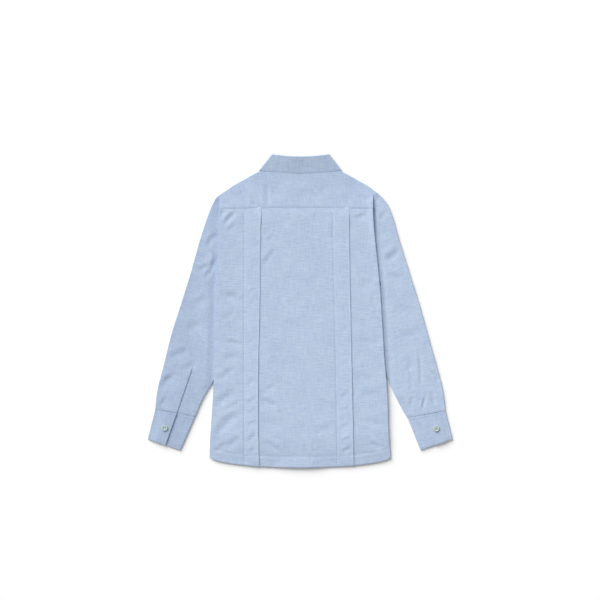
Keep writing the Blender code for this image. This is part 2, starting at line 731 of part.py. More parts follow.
def main():
    """Clears the scene and makes every piece."""
    for old in list(bpy.data.objects):
        bpy.data.objects.remove(old)
    cloth("back", back_face, skip=past_turn)
    cloth("yoke", yoke_face, skip=over_neck)
    for word, side in (("left", LEFT), ("right", RIGHT)):
        turned = side == LEFT
        cloth(f"front_{word}", lambda inset: front_face(inset, side), flip=turned)
        cloth(f"sleeve_{word}", lambda inset: sleeve_face(inset, side), flip=turned)
        cloth(f"cuff_{word}", lambda inset: cuff_face(inset, side), wall=CUFF_WALL, flip=turned)
    cloth("collar", collar_face, wall=COLLAR_WALL, flip=True)
    cloth("collar_stand", stand_face)
    mesh = button_mesh()
    on_flap = CUFF_HEIGHT + CUFF_WALL + 2 * SEAM
    for name, side in (("cuff_button_left", LEFT), ("cuff_button_right", RIGHT)):
        x, y = cuff_button_place(side)
        make_button(name, x, y, on_flap, mesh)
    for number in range(FRONT_BUTTONS):
        level = FRONT_BUTTON_TOP - FRONT_BUTTON_STEP * number
        make_button(f"front_button_{number + 1}", 0.0, level, 0.0, mesh)
    make_button("collar_button", 0.0, (NECK_SIDE - FRONT_NECK_DEPTH + COLLAR_FRONT_FOLD) / 2, 0.0, mesh)


main()
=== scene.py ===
"""The looks of a pale blue long-sleeved shirt with two raised tucks down its back, laid face down.

Millimetres in the classes and metres in the meshes. +Z is up, +Y runs from the hem to the collar, and
the wearer's left is at -X. Each surface is a function of two parameters, worked out on a whole grid at
once.
"""

import logging
from collections.abc import Callable, Sequence
from dataclasses import dataclass
from enum import Enum

import bmesh
import bpy
import numpy as np
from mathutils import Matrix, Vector


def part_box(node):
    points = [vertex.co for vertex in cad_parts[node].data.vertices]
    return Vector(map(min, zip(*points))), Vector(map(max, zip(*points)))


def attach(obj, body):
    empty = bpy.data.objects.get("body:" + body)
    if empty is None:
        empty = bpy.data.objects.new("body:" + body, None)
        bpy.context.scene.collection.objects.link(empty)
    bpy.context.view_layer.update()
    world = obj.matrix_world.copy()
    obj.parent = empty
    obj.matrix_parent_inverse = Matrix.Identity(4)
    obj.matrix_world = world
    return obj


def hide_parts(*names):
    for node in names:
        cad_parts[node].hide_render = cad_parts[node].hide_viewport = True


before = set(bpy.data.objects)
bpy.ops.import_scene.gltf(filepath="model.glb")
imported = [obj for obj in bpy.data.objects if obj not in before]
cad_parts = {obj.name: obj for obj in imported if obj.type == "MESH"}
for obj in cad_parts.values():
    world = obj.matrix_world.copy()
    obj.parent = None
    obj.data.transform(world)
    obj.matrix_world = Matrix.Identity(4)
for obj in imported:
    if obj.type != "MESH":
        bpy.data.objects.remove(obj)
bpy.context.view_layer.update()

log = logging.getLogger("shirt")
Array = np.ndarray
MM = 0.001
BODY = "root"
CLOTH_UV = "cloth"
FRONT_PANELS = ("front_left_panel", "front_right_panel")

# How many times deeper than listed each crease is drawn.
CREASING = 2.0
# How strongly a piece's tint bears on red, green and blue: a darker piece looks bluer too. The tint of
# the left sleeve and cuff is painted shade.
TINT_POWERS = (1.10, 1.0, 0.80)
# The darkest and the lightest thread, as shares of the cloth's red, green and blue.
DARK_THREAD = (0.0, 0.20, 0.68)
LIGHT_THREAD = (2.0, 1.80, 1.32)
# Points nearer than this are one point, in millimetres.
WELD = 0.004
# A face turned underneath stays this high, so that its thickness ends above the floor.
CLEARANCE = 0.36
# How far from a tube's or a fall's rim the row lies that keeps the rim's shading to itself, as a share.
RIM = 0.012


class Hand(Enum):
    """The wearer's hand, with the sign of x on that side."""

    LEFT = -1
    RIGHT = 1

    @property
    def word(self) -> str:
        """The hand's name in node names."""
        return self.name.lower()


class Grain(Enum):
    """Which way the heavier slubbed thread runs, as a turn of the pattern in degrees."""

    ACROSS = 0.0
    ALONG = 90.0


def smooth(share: Array) -> Array:
    """3 t^2 - 2 t^3, held at 0 and 1 outside."""
    share = np.clip(share, 0.0, 1.0)
    return share * share * (3.0 - 2.0 * share)


def ramp(value: Array, start: float, end: float) -> Array:
    """A smooth step, 0 at start and 1 at end."""
    return smooth((np.asarray(value, float) - start) / (end - start))


def mix(first: Array, second: Array, share: Array) -> Array:
    """The point that is a share of the way from first to second."""
    return first + (second - first) * share


def bell(distance: Array, width: float) -> Array:
    """exp(-(d / w)^2)."""
    return np.exp(-((distance / width) ** 2))


def firm(count: int, margin: float) -> Array:
    """Even steps from 0 to 1, with one more a margin after 0 that keeps a rim's shading to itself."""
    return np.insert(np.linspace(0.0, 1.0, count), 1, margin)


def firm_end(count: int, margin: float) -> Array:
    """Even steps from 0 to 1, with one more a margin before 1."""
    return 1.0 - firm(count, margin)[::-1]


def half_turn(count: int) -> Array:
    """Even angles from straight up round to straight down, in radians."""
    return np.radians(np.linspace(90.0, -90.0, count))


def unit(step: Array) -> Array:
    """The plan vector of length 1 along a step."""
    return step / np.hypot(*step)


def glide(at: Array, knots: Sequence[float], values: Sequence[float]) -> Array:
    """A cubic Hermite curve through a table, whose slope at a knot is the central difference there.

    Args:
        at: where to read the curve.
        knots: rising places of the table's rows.
        values: the table's values.

    Returns:
        The curve's values, held outside the table.
    """
    knots, values = np.asarray(knots, float), np.asarray(values, float)
    slopes = np.gradient(values, knots)
    left = np.clip(np.searchsorted(knots, at) - 1, 0, len(knots) - 2)
    step = knots[left + 1] - knots[left]
    t = np.clip((at - knots[left]) / step, 0.0, 1.0)
    start = values[left] * (1 + 2 * t) * (1 - t) ** 2 + step * slopes[left] * t * (1 - t) ** 2
    end = values[left + 1] * t * t * (3 - 2 * t) + step * slopes[left + 1] * t * t * (t - 1)
    return start + end


@dataclass(frozen=True)
class Crease:
    """A soft trough from (x0, y0) to (x1, y1), with a lower ridge pushed up on one side of it.

    Its section is -depth exp(-(s / width)^2) + ridge depth exp(-((s - 1.7 width) / width)^2), where s
    is the distance to the left of the line, and it fades to nothing at both ends.
    """

    x0: float
    y0: float
    x1: float
    y1: float
    width: float
    depth: float
    bend: float = 0.0
    ridge: float = 0.6

    def height(self, x: Array, y: Array) -> Array:
        """The crease's height over the plain cloth at each point, CREASING times its sizes."""
        run = np.array([self.x1 - self.x0, self.y1 - self.y0])
        length = float(np.hypot(*run))
        ahead = run / length
        along = ((x - self.x0) * ahead[0] + (y - self.y0) * ahead[1]) / length
        aside = (y - self.y0) * ahead[0] - (x - self.x0) * ahead[1]
        aside = aside - self.bend * 4.0 * along * (1.0 - along)
        fade = smooth(along / 0.35) * smooth((1.0 - along) / 0.35)
        trough = -self.depth * bell(aside, self.width)
        pushed = self.ridge * self.depth * bell(aside - 1.7 * self.width, self.width)
        return CREASING * fade * (trough + pushed)


@dataclass(frozen=True)
class Wave:
    """A long low swell of the cloth: height sin(2 pi d / length + phase), d along the heading."""

    heading: float
    length: float
    height: float
    phase: float

    def at(self, x: Array, y: Array) -> Array:
        """The swell's height at each point."""
        turn = np.radians(self.heading)
        distance = x * np.cos(turn) + y * np.sin(turn)
        return self.height * np.sin(2 * np.pi * distance / self.length + self.phase)


SWELLS = (
    Wave(12.0, 88.0, 0.10, 0.4),
    Wave(68.0, 61.0, 0.07, 1.9),
    Wave(131.0, 47.0, 0.05, 3.3),
    Wave(97.0, 33.0, 0.035, 5.1),
    Wave(160.0, 24.0, 0.02, 0.9),
    Wave(40.0, 17.0, 0.014, 2.2),
)


def swell(x: Array, y: Array) -> Array:
    """The sum of the long low swells, which keeps a laid cloth from looking pressed in steel."""
    return sum(wave.at(x, y) for wave in SWELLS)


def creased(creases: Sequence[Crease], x: Array, y: Array) -> Array:
    """The sum of a list of creases, with the swells."""
    return sum((crease.height(x, y) for crease in creases), swell(x, y))


def pucker(along: Array, pitch: float, seed: float) -> Array:
    """An uneven ripple from -1 to 1 along a seam: the mean of three sines whose pitches don't agree."""
    turn = 2 * np.pi * along / pitch
    ripple = np.sin(turn + seed) + np.sin(turn * 0.61 + 2.1 * seed) + np.sin(turn * 1.37 + 0.7 * seed)
    return ripple / 3.0


class Recipe:
    """A new material, with short ways to add nodes to its tree."""

    def __init__(self, name: str, surface: dict[str, float]) -> None:
        """Starts the material and sets some of its shader's inputs."""
        self.material = bpy.data.materials.new(name)
        self.material.use_nodes = True
        self.tree = self.material.node_tree
        self.shader = self.tree.nodes["Principled BSDF"]
        self.feed(self.shader, surface)

    def feed(self, node: bpy.types.Node, inputs: dict[str | int, object]) -> None:
        """Sets a node's inputs to values, or links them to other nodes' outputs."""
        for key, value in inputs.items():
            if isinstance(value, bpy.types.NodeSocket):
                self.tree.links.new(value, node.inputs[key])
            else:
                node.inputs[key].default_value = value

    def add(self, kind: str, inputs: dict[str | int, object], **settings: object) -> bpy.types.Node:
        """A new node of a kind, with its settings made and its inputs fed."""
        node = self.tree.nodes.new(kind)
        for setting, value in settings.items():
            setattr(node, setting, value)
        self.feed(node, inputs)
        return node

    def sums(self, operation: str, first: object, second: object) -> bpy.types.NodeSocket:
        """One Math node on sockets or numbers."""
        return self.add("ShaderNodeMath", {0: first, 1: second}, operation=operation).outputs["Value"]

    def blend(
        self, share: bpy.types.NodeSocket, first: Sequence[float], second: Sequence[float]
    ) -> None:
        """Colours the surface by a mix of two colours."""
        inputs = {"Factor": share, "A": (*first, 1.0), "B": (*second, 1.0)}
        mixed = self.add("ShaderNodeMix", inputs, data_type="RGBA")
        self.feed(self.shader, {"Base Color": mixed.outputs["Result"]})

    def roughen(self, height: bpy.types.NodeSocket, strength: float, depth: float) -> None:
        """Bumps the surface by a pattern of heights, to a depth in millimetres."""
        inputs = {"Height": height, "Strength": strength, "Distance": depth * MM}
        bump = self.add("ShaderNodeBump", inputs)
        self.feed(self.shader, {"Normal": bump.outputs["Normal"]})


@dataclass(frozen=True)
class Chambray:
    """Pale blue cotton with a white crossing thread, and slubs that show as faint dashes.

    Pattern sizes are lengths in millimetres along and across the slubbed thread. The shares are how
    much each pattern lightens or darkens the colour.
    """

    colour: tuple[float, float, float] = (0.444, 0.542, 0.707)
    streak: tuple[float, float] = (26.0, 1.9)
    streak_share: float = 0.20
    fleck: tuple[float, float] = (9.0, 1.3)
    fleck_share: float = 0.15
    rib: tuple[float, float] = (1.7, 26.0)
    rib_share: float = 0.13
    cloud: float = 55.0
    cloud_share: float = 0.05
    thread: float = 0.42
    thread_share: float = 0.16
    roughness: float = 0.86
    sheen: float = 0.12

    def make(self, name: str, grain: Grain, tint: float = 1.0) -> bpy.types.Material:
        """Builds the material on the piece's own UV map, which is in metres along the cloth.

        Args:
            name: the material's name.
            grain: which way the slubbed thread runs.
            tint: how much lighter or darker than plain cloth the piece is; on the left sleeve and cuff
                the darkening is painted shade.

        Returns:
            The material.
        """
        surface = {"Roughness": self.roughness, "Specular IOR Level": 0.25}
        recipe = Recipe(name, surface | {"Sheen Weight": self.sheen, "Sheen Roughness": 0.5})
        uv = recipe.add("ShaderNodeUVMap", {}, uv_map=CLOTH_UV).outputs["UV"]
        rotation = (0.0, 0.0, np.radians(grain.value))
        inputs = {"Vector": uv, "Rotation": rotation, "Scale": (1 / MM, 1 / MM, 1.0)}
        place = recipe.add("ShaderNodeMapping", inputs).outputs["Vector"]

        def patch(size: tuple[float, float], detail: float) -> bpy.types.NodeSocket:
            """Noise stretched to a size, in millimetres."""
            inputs = {"Vector": place, "Scale": (1 / size[0], 1 / size[1], 1.0)}
            stretched = recipe.add("ShaderNodeMapping", inputs).outputs["Vector"]
            inputs = {"Vector": stretched, "Scale": 1.0, "Detail": detail, "Roughness": 0.6}
            return recipe.add("ShaderNodeTexNoise", inputs, noise_dimensions="2D").outputs["Fac"]

        split = recipe.add("ShaderNodeSeparateXYZ", {"Vector": place})
        swings = [recipe.sums("MULTIPLY", split.outputs[axis], np.pi / self.thread) for axis in "XY"]
        weave = recipe.sums("MULTIPLY", *[recipe.sums("SINE", swing, 0.0) for swing in swings])
        patterns = (
            (patch(self.streak, 2.0), self.streak_share),
            (patch(self.fleck, 1.0), self.fleck_share),
            (patch(self.rib, 1.0), self.rib_share),
            (patch((self.cloud, self.cloud * 0.7), 2.0), self.cloud_share),
        )
        total = recipe.sums("MULTIPLY", weave, self.thread_share / 2)
        for pattern, share in patterns:
            centred = recipe.sums("SUBTRACT", pattern, 0.5)
            total = recipe.sums("ADD", total, recipe.sums("MULTIPLY", centred, 2 * share))
        shade = recipe.add("ShaderNodeMapRange", {"Value": total, "From Min": -1.0, "From Max": 1.0})
        # The tint darkens the whole piece's colours; on the left sleeve and cuff this is painted shade.
        tone = [channel * tint**power for channel, power in zip(self.colour, TINT_POWERS)]
        dark = [channel * low for channel, low in zip(tone, DARK_THREAD)]
        light = [min(1.0, channel * high) for channel, high in zip(tone, LIGHT_THREAD)]
        recipe.blend(shade.outputs["Result"], dark, light)
        relief = recipe.sums("MULTIPLY", weave, 0.5)
        for pattern, _ in patterns[:2]:
            relief = recipe.sums("ADD", relief, recipe.sums("MULTIPLY", pattern, 0.8))
        recipe.roughen(relief, 0.5, 0.07)
        return recipe.material


@dataclass(frozen=True)
class PlainFinish:
    """One colour with a fine mottle on Object coordinates, for thread and buttons."""

    colour: tuple[float, float, float]
    mottle: tuple[float, float, float]
    grain: float
    roughness: float
    coat: float = 0.0

    def make(self, name: str) -> bpy.types.Material:
        """Builds the material: colour and mottle mixed by noise of the grain's size in millimetres."""
        surface = {"Roughness": self.roughness, "Coat Weight": self.coat, "Coat Roughness": 0.15}
        recipe = Recipe(name, surface)
        place = recipe.add("ShaderNodeTexCoord", {}).outputs["Object"]
        inputs = {"Vector": place, "Scale": 1 / (self.grain * MM), "Detail": 3.0}
        noise = recipe.add("ShaderNodeTexNoise", inputs).outputs["Fac"]
        recipe.blend(noise, self.colour, self.mottle)
        recipe.roughen(noise, 0.3, 0.05)
        return recipe.material


def lengths(points: Array, axis: int, start: int) -> Array:
    """Distance along each row or column of a grid from its start-th point, in millimetres."""
    steps = np.linalg.norm(np.diff(points, axis=axis), axis=2)
    pad = [(0, 0), (0, 0)]
    pad[axis] = (1, 0)
    total = np.pad(np.cumsum(steps, axis=axis), pad)
    return total - np.take(total, [start], axis=axis)


def finish_piece(piece: bpy.types.Object, material: bpy.types.Material) -> bpy.types.Object:
    """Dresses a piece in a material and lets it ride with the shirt."""
    piece.data.materials.append(material)
    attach(piece, BODY)
    return piece


def new_object(name: str, vertices: Array, faces: Array) -> bpy.types.Object:
    """A mesh object with its place in its mesh. Vertices are in millimetres, and shading is smooth."""
    mesh = bpy.data.meshes.new(name)
    mesh.from_pydata((vertices * MM).tolist(), [], faces.tolist())
    mesh.polygons.foreach_set("use_smooth", np.ones(len(mesh.polygons), bool))
    mesh.update()
    piece = bpy.data.objects.new(name, mesh)
    bpy.context.scene.collection.objects.link(piece)
    return piece


def cloth_piece(
    name: str,
    points: Array,
    thickness: float,
    flip: bool = False,
    keep: Array | None = None,
    origin: tuple[int, int] = (0, 0),
    chart: Array | None = None,
) -> bpy.types.Object:
    """A sheet of cloth over a grid of points on its outer face.

    Quad (r, c) joins points (r, c), (r, c + 1), (r + 1, c + 1) and (r + 1, c). The UV map holds the
    distances along the rows and columns in metres, so that the weave follows the cloth.

    Args:
        name: the piece's name.
        points: rows, columns and x, y, z in millimetres.
        thickness: the cloth's thickness, which goes inwards from the points.
        flip: whether the quads are turned over.
        keep: which quads there are, all of them by default.
        origin: the row and column from which the UV map's distances run.
        chart: the UV map itself, in millimetres, in place of the distances.

    Returns:
        The object, with its thickness as a modifier.
    """
    rows, columns, _ = points.shape
    index = np.arange(rows * columns).reshape(rows, columns)
    quads = np.stack([index[:-1, :-1], index[:-1, 1:], index[1:, 1:], index[1:, :-1]], axis=2)
    quads = quads.reshape(-1, 4) if keep is None else quads[keep]
    if flip:
        quads = quads[:, ::-1]
    piece = new_object(name, points.reshape(-1, 3), quads)
    if chart is None:
        chart = np.stack([lengths(points, 1, origin[1]), lengths(points, 0, origin[0])], axis=2)
    uv = chart.reshape(-1, 2) * MM
    layer = piece.data.uv_layers.new(name=CLOTH_UV)
    layer.data.foreach_set("uv", uv[quads.ravel()].ravel().astype(np.float32))
    work = bmesh.new()
    work.from_mesh(piece.data)
    bmesh.ops.remove_doubles(work, verts=work.verts, dist=WELD * MM)
    bmesh.ops.delete(work, geom=[v for v in work.verts if not v.link_faces], context="VERTS")
    work.to_mesh(piece.data)
    work.free()
    wall = piece.modifiers.new("thickness", "SOLIDIFY")
    wall.thickness = thickness * MM
    wall.offset = -1.0
    return piece


@dataclass(frozen=True)
class Stitching:
    """Lines of lockstitch: short round threads with sunken ends, one after another along a line."""

    length: float = 2.1
    pitch: float = 2.7
    radius: float = 0.19
    sides: int = 6

    def build(
        self, name: str, paths: Sequence[Array], material: bpy.types.Material
    ) -> bpy.types.Object:
        """One mesh with every stitch of several lines.

        Each stitch is a tube round a bow: at t from -1 to 1 its centre is t length / 2 along the line
        and 0.12 (1 - t^2) above it, and its radius is radius (1 - t^4)^(1/2), closed at both ends.

        Args:
            name: the piece's name.
            paths: each line's points, in millimetres, on the cloth's outer face.
            material: the thread's material.

        Returns:
            The object.
        """
        places, headings = [], []
        for path in paths:
            steps = np.linalg.norm(np.diff(path, axis=0), axis=1)
            run = np.concatenate([[0.0], np.cumsum(steps)])
            at = np.arange(self.pitch / 2, run[-1] - self.pitch / 2, self.pitch)
            ends = [
                np.column_stack([np.interp(at + reach, run, path[:, axis]) for axis in range(3)])
                for reach in (-self.length / 2, self.length / 2)
            ]
            places.append((ends[0] + ends[1]) / 2)
            headings.append((ends[1] - ends[0]) / self.length)
        centre, ahead = np.concatenate(places), np.concatenate(headings)
        ahead = ahead / np.linalg.norm(ahead, axis=1, keepdims=True)
        up = np.where(np.abs(ahead[:, 2:]) > 0.9, [[1.0, 0.0, 0.0]], [[0.0, 0.0, 1.0]])
        aside = np.cross(ahead, up)
        aside = aside / np.linalg.norm(aside, axis=1, keepdims=True)
        above = np.cross(aside, ahead)
        t = np.array([-0.98, -0.6, 0.0, 0.6, 0.98])
        angle = np.linspace(0.0, 2 * np.pi, self.sides, endpoint=False)
        radius = self.radius * np.sqrt(1.0 - t**4)
        spine = centre[:, None] + ahead[:, None] * (t * self.length / 2)[None, :, None]
        spine = spine + above[:, None] * (0.12 * (1 - t**2))[None, :, None]
        rim = np.cos(angle)[:, None] * aside[:, None] + np.sin(angle)[:, None] * above[:, None]
        points = spine[:, :, None] + radius[None, :, None, None] * rim[:, None]
        stitches, rings, sides, _ = points.shape
        index = np.arange(rings * sides).reshape(rings, sides)
        ahead_of = np.roll(index, -1, axis=1)
        quads = np.stack([index[:-1], index[1:], ahead_of[1:], ahead_of[:-1]], axis=2).reshape(-1, 4)
        caps = np.array([[0, 1, 2, 3], [0, 3, 4, 5]])
        caps = np.concatenate([caps, (index[-1, 0] + caps)[:, ::-1]])
        local = np.concatenate([quads, caps])
        faces = (local[None] + np.arange(stitches)[:, None, None] * rings * sides).reshape(-1, 4)
        piece = new_object(name, points.reshape(-1, 3), faces)
        return finish_piece(piece, material)


def sew(
    piece: bpy.types.Object,
    node: str,
    cloth: bpy.types.Material,
    paths: Sequence[Array],
    thread: bpy.types.Material,
    slot: str = "cloth",
    **sheet: object,
) -> list[bpy.types.Object]:
    """Dresses a piece of cloth and sews its stitched lines.

    Args:
        piece: the cloth.
        node: the CAD node whose place it takes.
        cloth: the cloth's material.
        paths: the stitched lines, in millimetres.
        thread: the thread's material.
        slot: the cloth's slot, not used.
        **sheet: the sheet's flat size and area in metres, how it is held and what it rests on, not
                 used.

    Returns:
        The cloth and its stitching.
    """
    finish_piece(piece, cloth)
    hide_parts(node)
    stitches = Stitching().build(f"{node}_stitches", paths, thread)
    return [piece, stitches]


@dataclass(frozen=True)
class SideRow:
    """How far the body's sides are from its middle line at one level."""

    y: float
    left: float
    right: float


@dataclass(frozen=True)
class Body:
    """The laid body's plan: its sides, hem, neck and shoulders, and how high its layers ride."""

    sides: tuple[SideRow, ...] = (
        SideRow(-276.0, 172.4, 172.4),
        SideRow(-243.0, 171.4, 169.6),
        SideRow(-213.0, 169.5, 167.8),
        SideRow(-166.0, 166.5, 166.8),
        SideRow(-136.0, 164.5, 164.8),
        SideRow(-91.0, 164.0, 160.9),
        SideRow(-15.0, 162.5, 156.2),
        SideRow(57.0, 160.0, 151.0),
        SideRow(85.0, 157.0, 148.2),
        SideRow(125.0, 153.6, 143.9),
        SideRow(172.0, 153.1, 139.6),
        SideRow(204.0, 152.8, 138.2),
        SideRow(232.0, 152.5, 138.2),
    )
    underarm: float = 57.0
    layer: float = 2.6
    over_sleeve: float = 2.9
    over_collar: float = 1.7
    over_button: float = 2.3
    right_over_button: float = 3.8
    right_over_left: float = 1.3
    air: float = 4.4
    hem_air: float = 0.0
    over_stand: float = 2.7
    valleys: tuple[tuple[float, float, float], ...] = (
        (-150.0, 3.6, 2.6),
        (-120.0, 4.9, 3.4),
        (40.0, 5.0, 3.9),
        (104.0, 4.6, 3.2),
        (146.0, 4.2, 0.9),
        (198.0, 3.0, 0.8),
        (208.0, 3.2, 2.2),
        (217.0, 4.4, 4.6),
        (226.0, 4.9, 5.0),
    )
    hem_drop: float = 21.2
    seam_middle: float = 196.5
    seam_side: float = 193.8
    neck_half: float = 70.0
    neck_middle: float = 266.0
    neck_side: float = 270.0
    neck_depth: float = 65.0
    lowest_valley: float = 0.8

    def side_x(self, y: Array, hand: Hand) -> Array:
        """How far the body's side is from the middle line at a level."""
        column = [row.left if hand is Hand.LEFT else row.right for row in self.sides]
        return glide(np.asarray(y, float), [row.y for row in self.sides], column)

    def edge(self, x: Array, y: Array) -> Array:
        """How far inside the nearer side a point is."""
        side = np.where(x < 0, self.side_x(y, Hand.LEFT), self.side_x(y, Hand.RIGHT))
        return side - np.abs(x)

    def hem_bow(self, x: Array) -> Array:
        """How far the hem hangs below its corners: half an ellipse."""
        out = np.clip(np.abs(x) / self.sides[0].left, 0.0, 1.0)
        return self.hem_drop * np.sqrt(1.0 - out**2)

    def seam_y(self, x: Array) -> Array:
        """The level of the seam between the yoke and the back."""
        return self.seam_middle + (self.seam_side - self.seam_middle) * (x / 150.0) ** 2

    def neck_y(self, x: Array) -> Array:
        """The level of the back neckline."""
        return self.neck_middle + (self.neck_side - self.neck_middle) * (x / self.neck_half) ** 2

    def lift(self, x: Array, y: Array, hand: Hand = Hand.RIGHT) -> Array:
        """How high the lower face of a front is, over what it lies on.

        Args:
            x: across, in millimetres.
            y: up the body.
            hand: whose front it is. The right front lies over the left one, and so higher.

        Returns:
            The height over the surface: the norm of the rises over the buttons, collar and sleeve.
        """
        closed = ramp(y, 262.0, 236.0)
        buttons = ramp(y, -262.0, -213.0) * closed
        if hand is Hand.LEFT:
            middle = self.over_button * buttons
        else:
            middle = mix(self.right_over_left, self.right_over_button, buttons) * closed
        return self.heaped(middle * ramp(np.abs(x), 58.0, 17.0), x, y)

    def cover(self, x: Array, y: Array) -> Array:
        """How high the back and the yoke ride: over the fronts, with some air in between.

        The air thins towards the hem and the shoulders and is a fifth deeper by the left side, and the
        collar's stand lifts the yoke a little at the middle.
        """
        up_hem = y - (self.sides[0].y - self.hem_bow(x))
        left = 1.0 + 0.2 * ramp(self.edge(x, y), 45.0, 0.0) * (x < 0) * ramp(y, -190.0, -150.0)
        air = mix(self.hem_air, self.air, ramp(up_hem, -30.0, 60.0)) * ramp(y, 268.0, 180.0) * left
        stand = self.over_stand * ramp(np.abs(x), 88.0, 14.0) * ramp(y, 268.0, 228.0)
        return self.heaped(np.maximum(air, stand), x, y)

    def heaped(self, middle: Array, x: Array, y: Array) -> Array:
        """The fourth root of the sum of three rises' fourth powers.

        They are the middle's, the one over the collar's points at the neck, and the one over the sleeve
        below each underarm.
        """
        neck = self.over_collar * ramp(np.abs(x), 118.0, 84.0) * ramp(y, 125.0, 172.0)
        inside = self.edge(x, y)
        sleeve = self.over_sleeve * ramp(inside, 42.0, 20.0)
        sleeve = sleeve * ramp(y, 85.0, self.underarm) * ramp(y, -166.0, -136.0)
        return (middle**4 + neck**4 + sleeve**4) ** 0.25

    def roll(self, x: Array, y: Array) -> Array:
        """How much the back stands up towards its sides, most by the right armhole."""
        inside = self.edge(x, y)
        level = mix(0.5, 2.2, ramp(y, 90.0, 165.0)) * ramp(y, 224.0, 206.0) * ramp(y, -190.0, -120.0)
        share = np.where(x > 0, 1.0, 0.1)
        return level * share * bell(np.maximum(inside, 0.0), 9.0)

    def valley(self, y: Array, hand: Hand) -> Array:
        """The height of a sleeve's upper layer under the body's side, never below the lowest valley."""
        levels, left, right = zip(*self.valleys)
        level = glide(np.asarray(y, float), levels, left if hand is Hand.LEFT else right)
        return np.maximum(level, self.lowest_valley)


@dataclass(frozen=True)
class TuckRow:
    """Where a tuck's stitched line and its free fold lie at one level."""

    y: float
    line: float
    fold: float


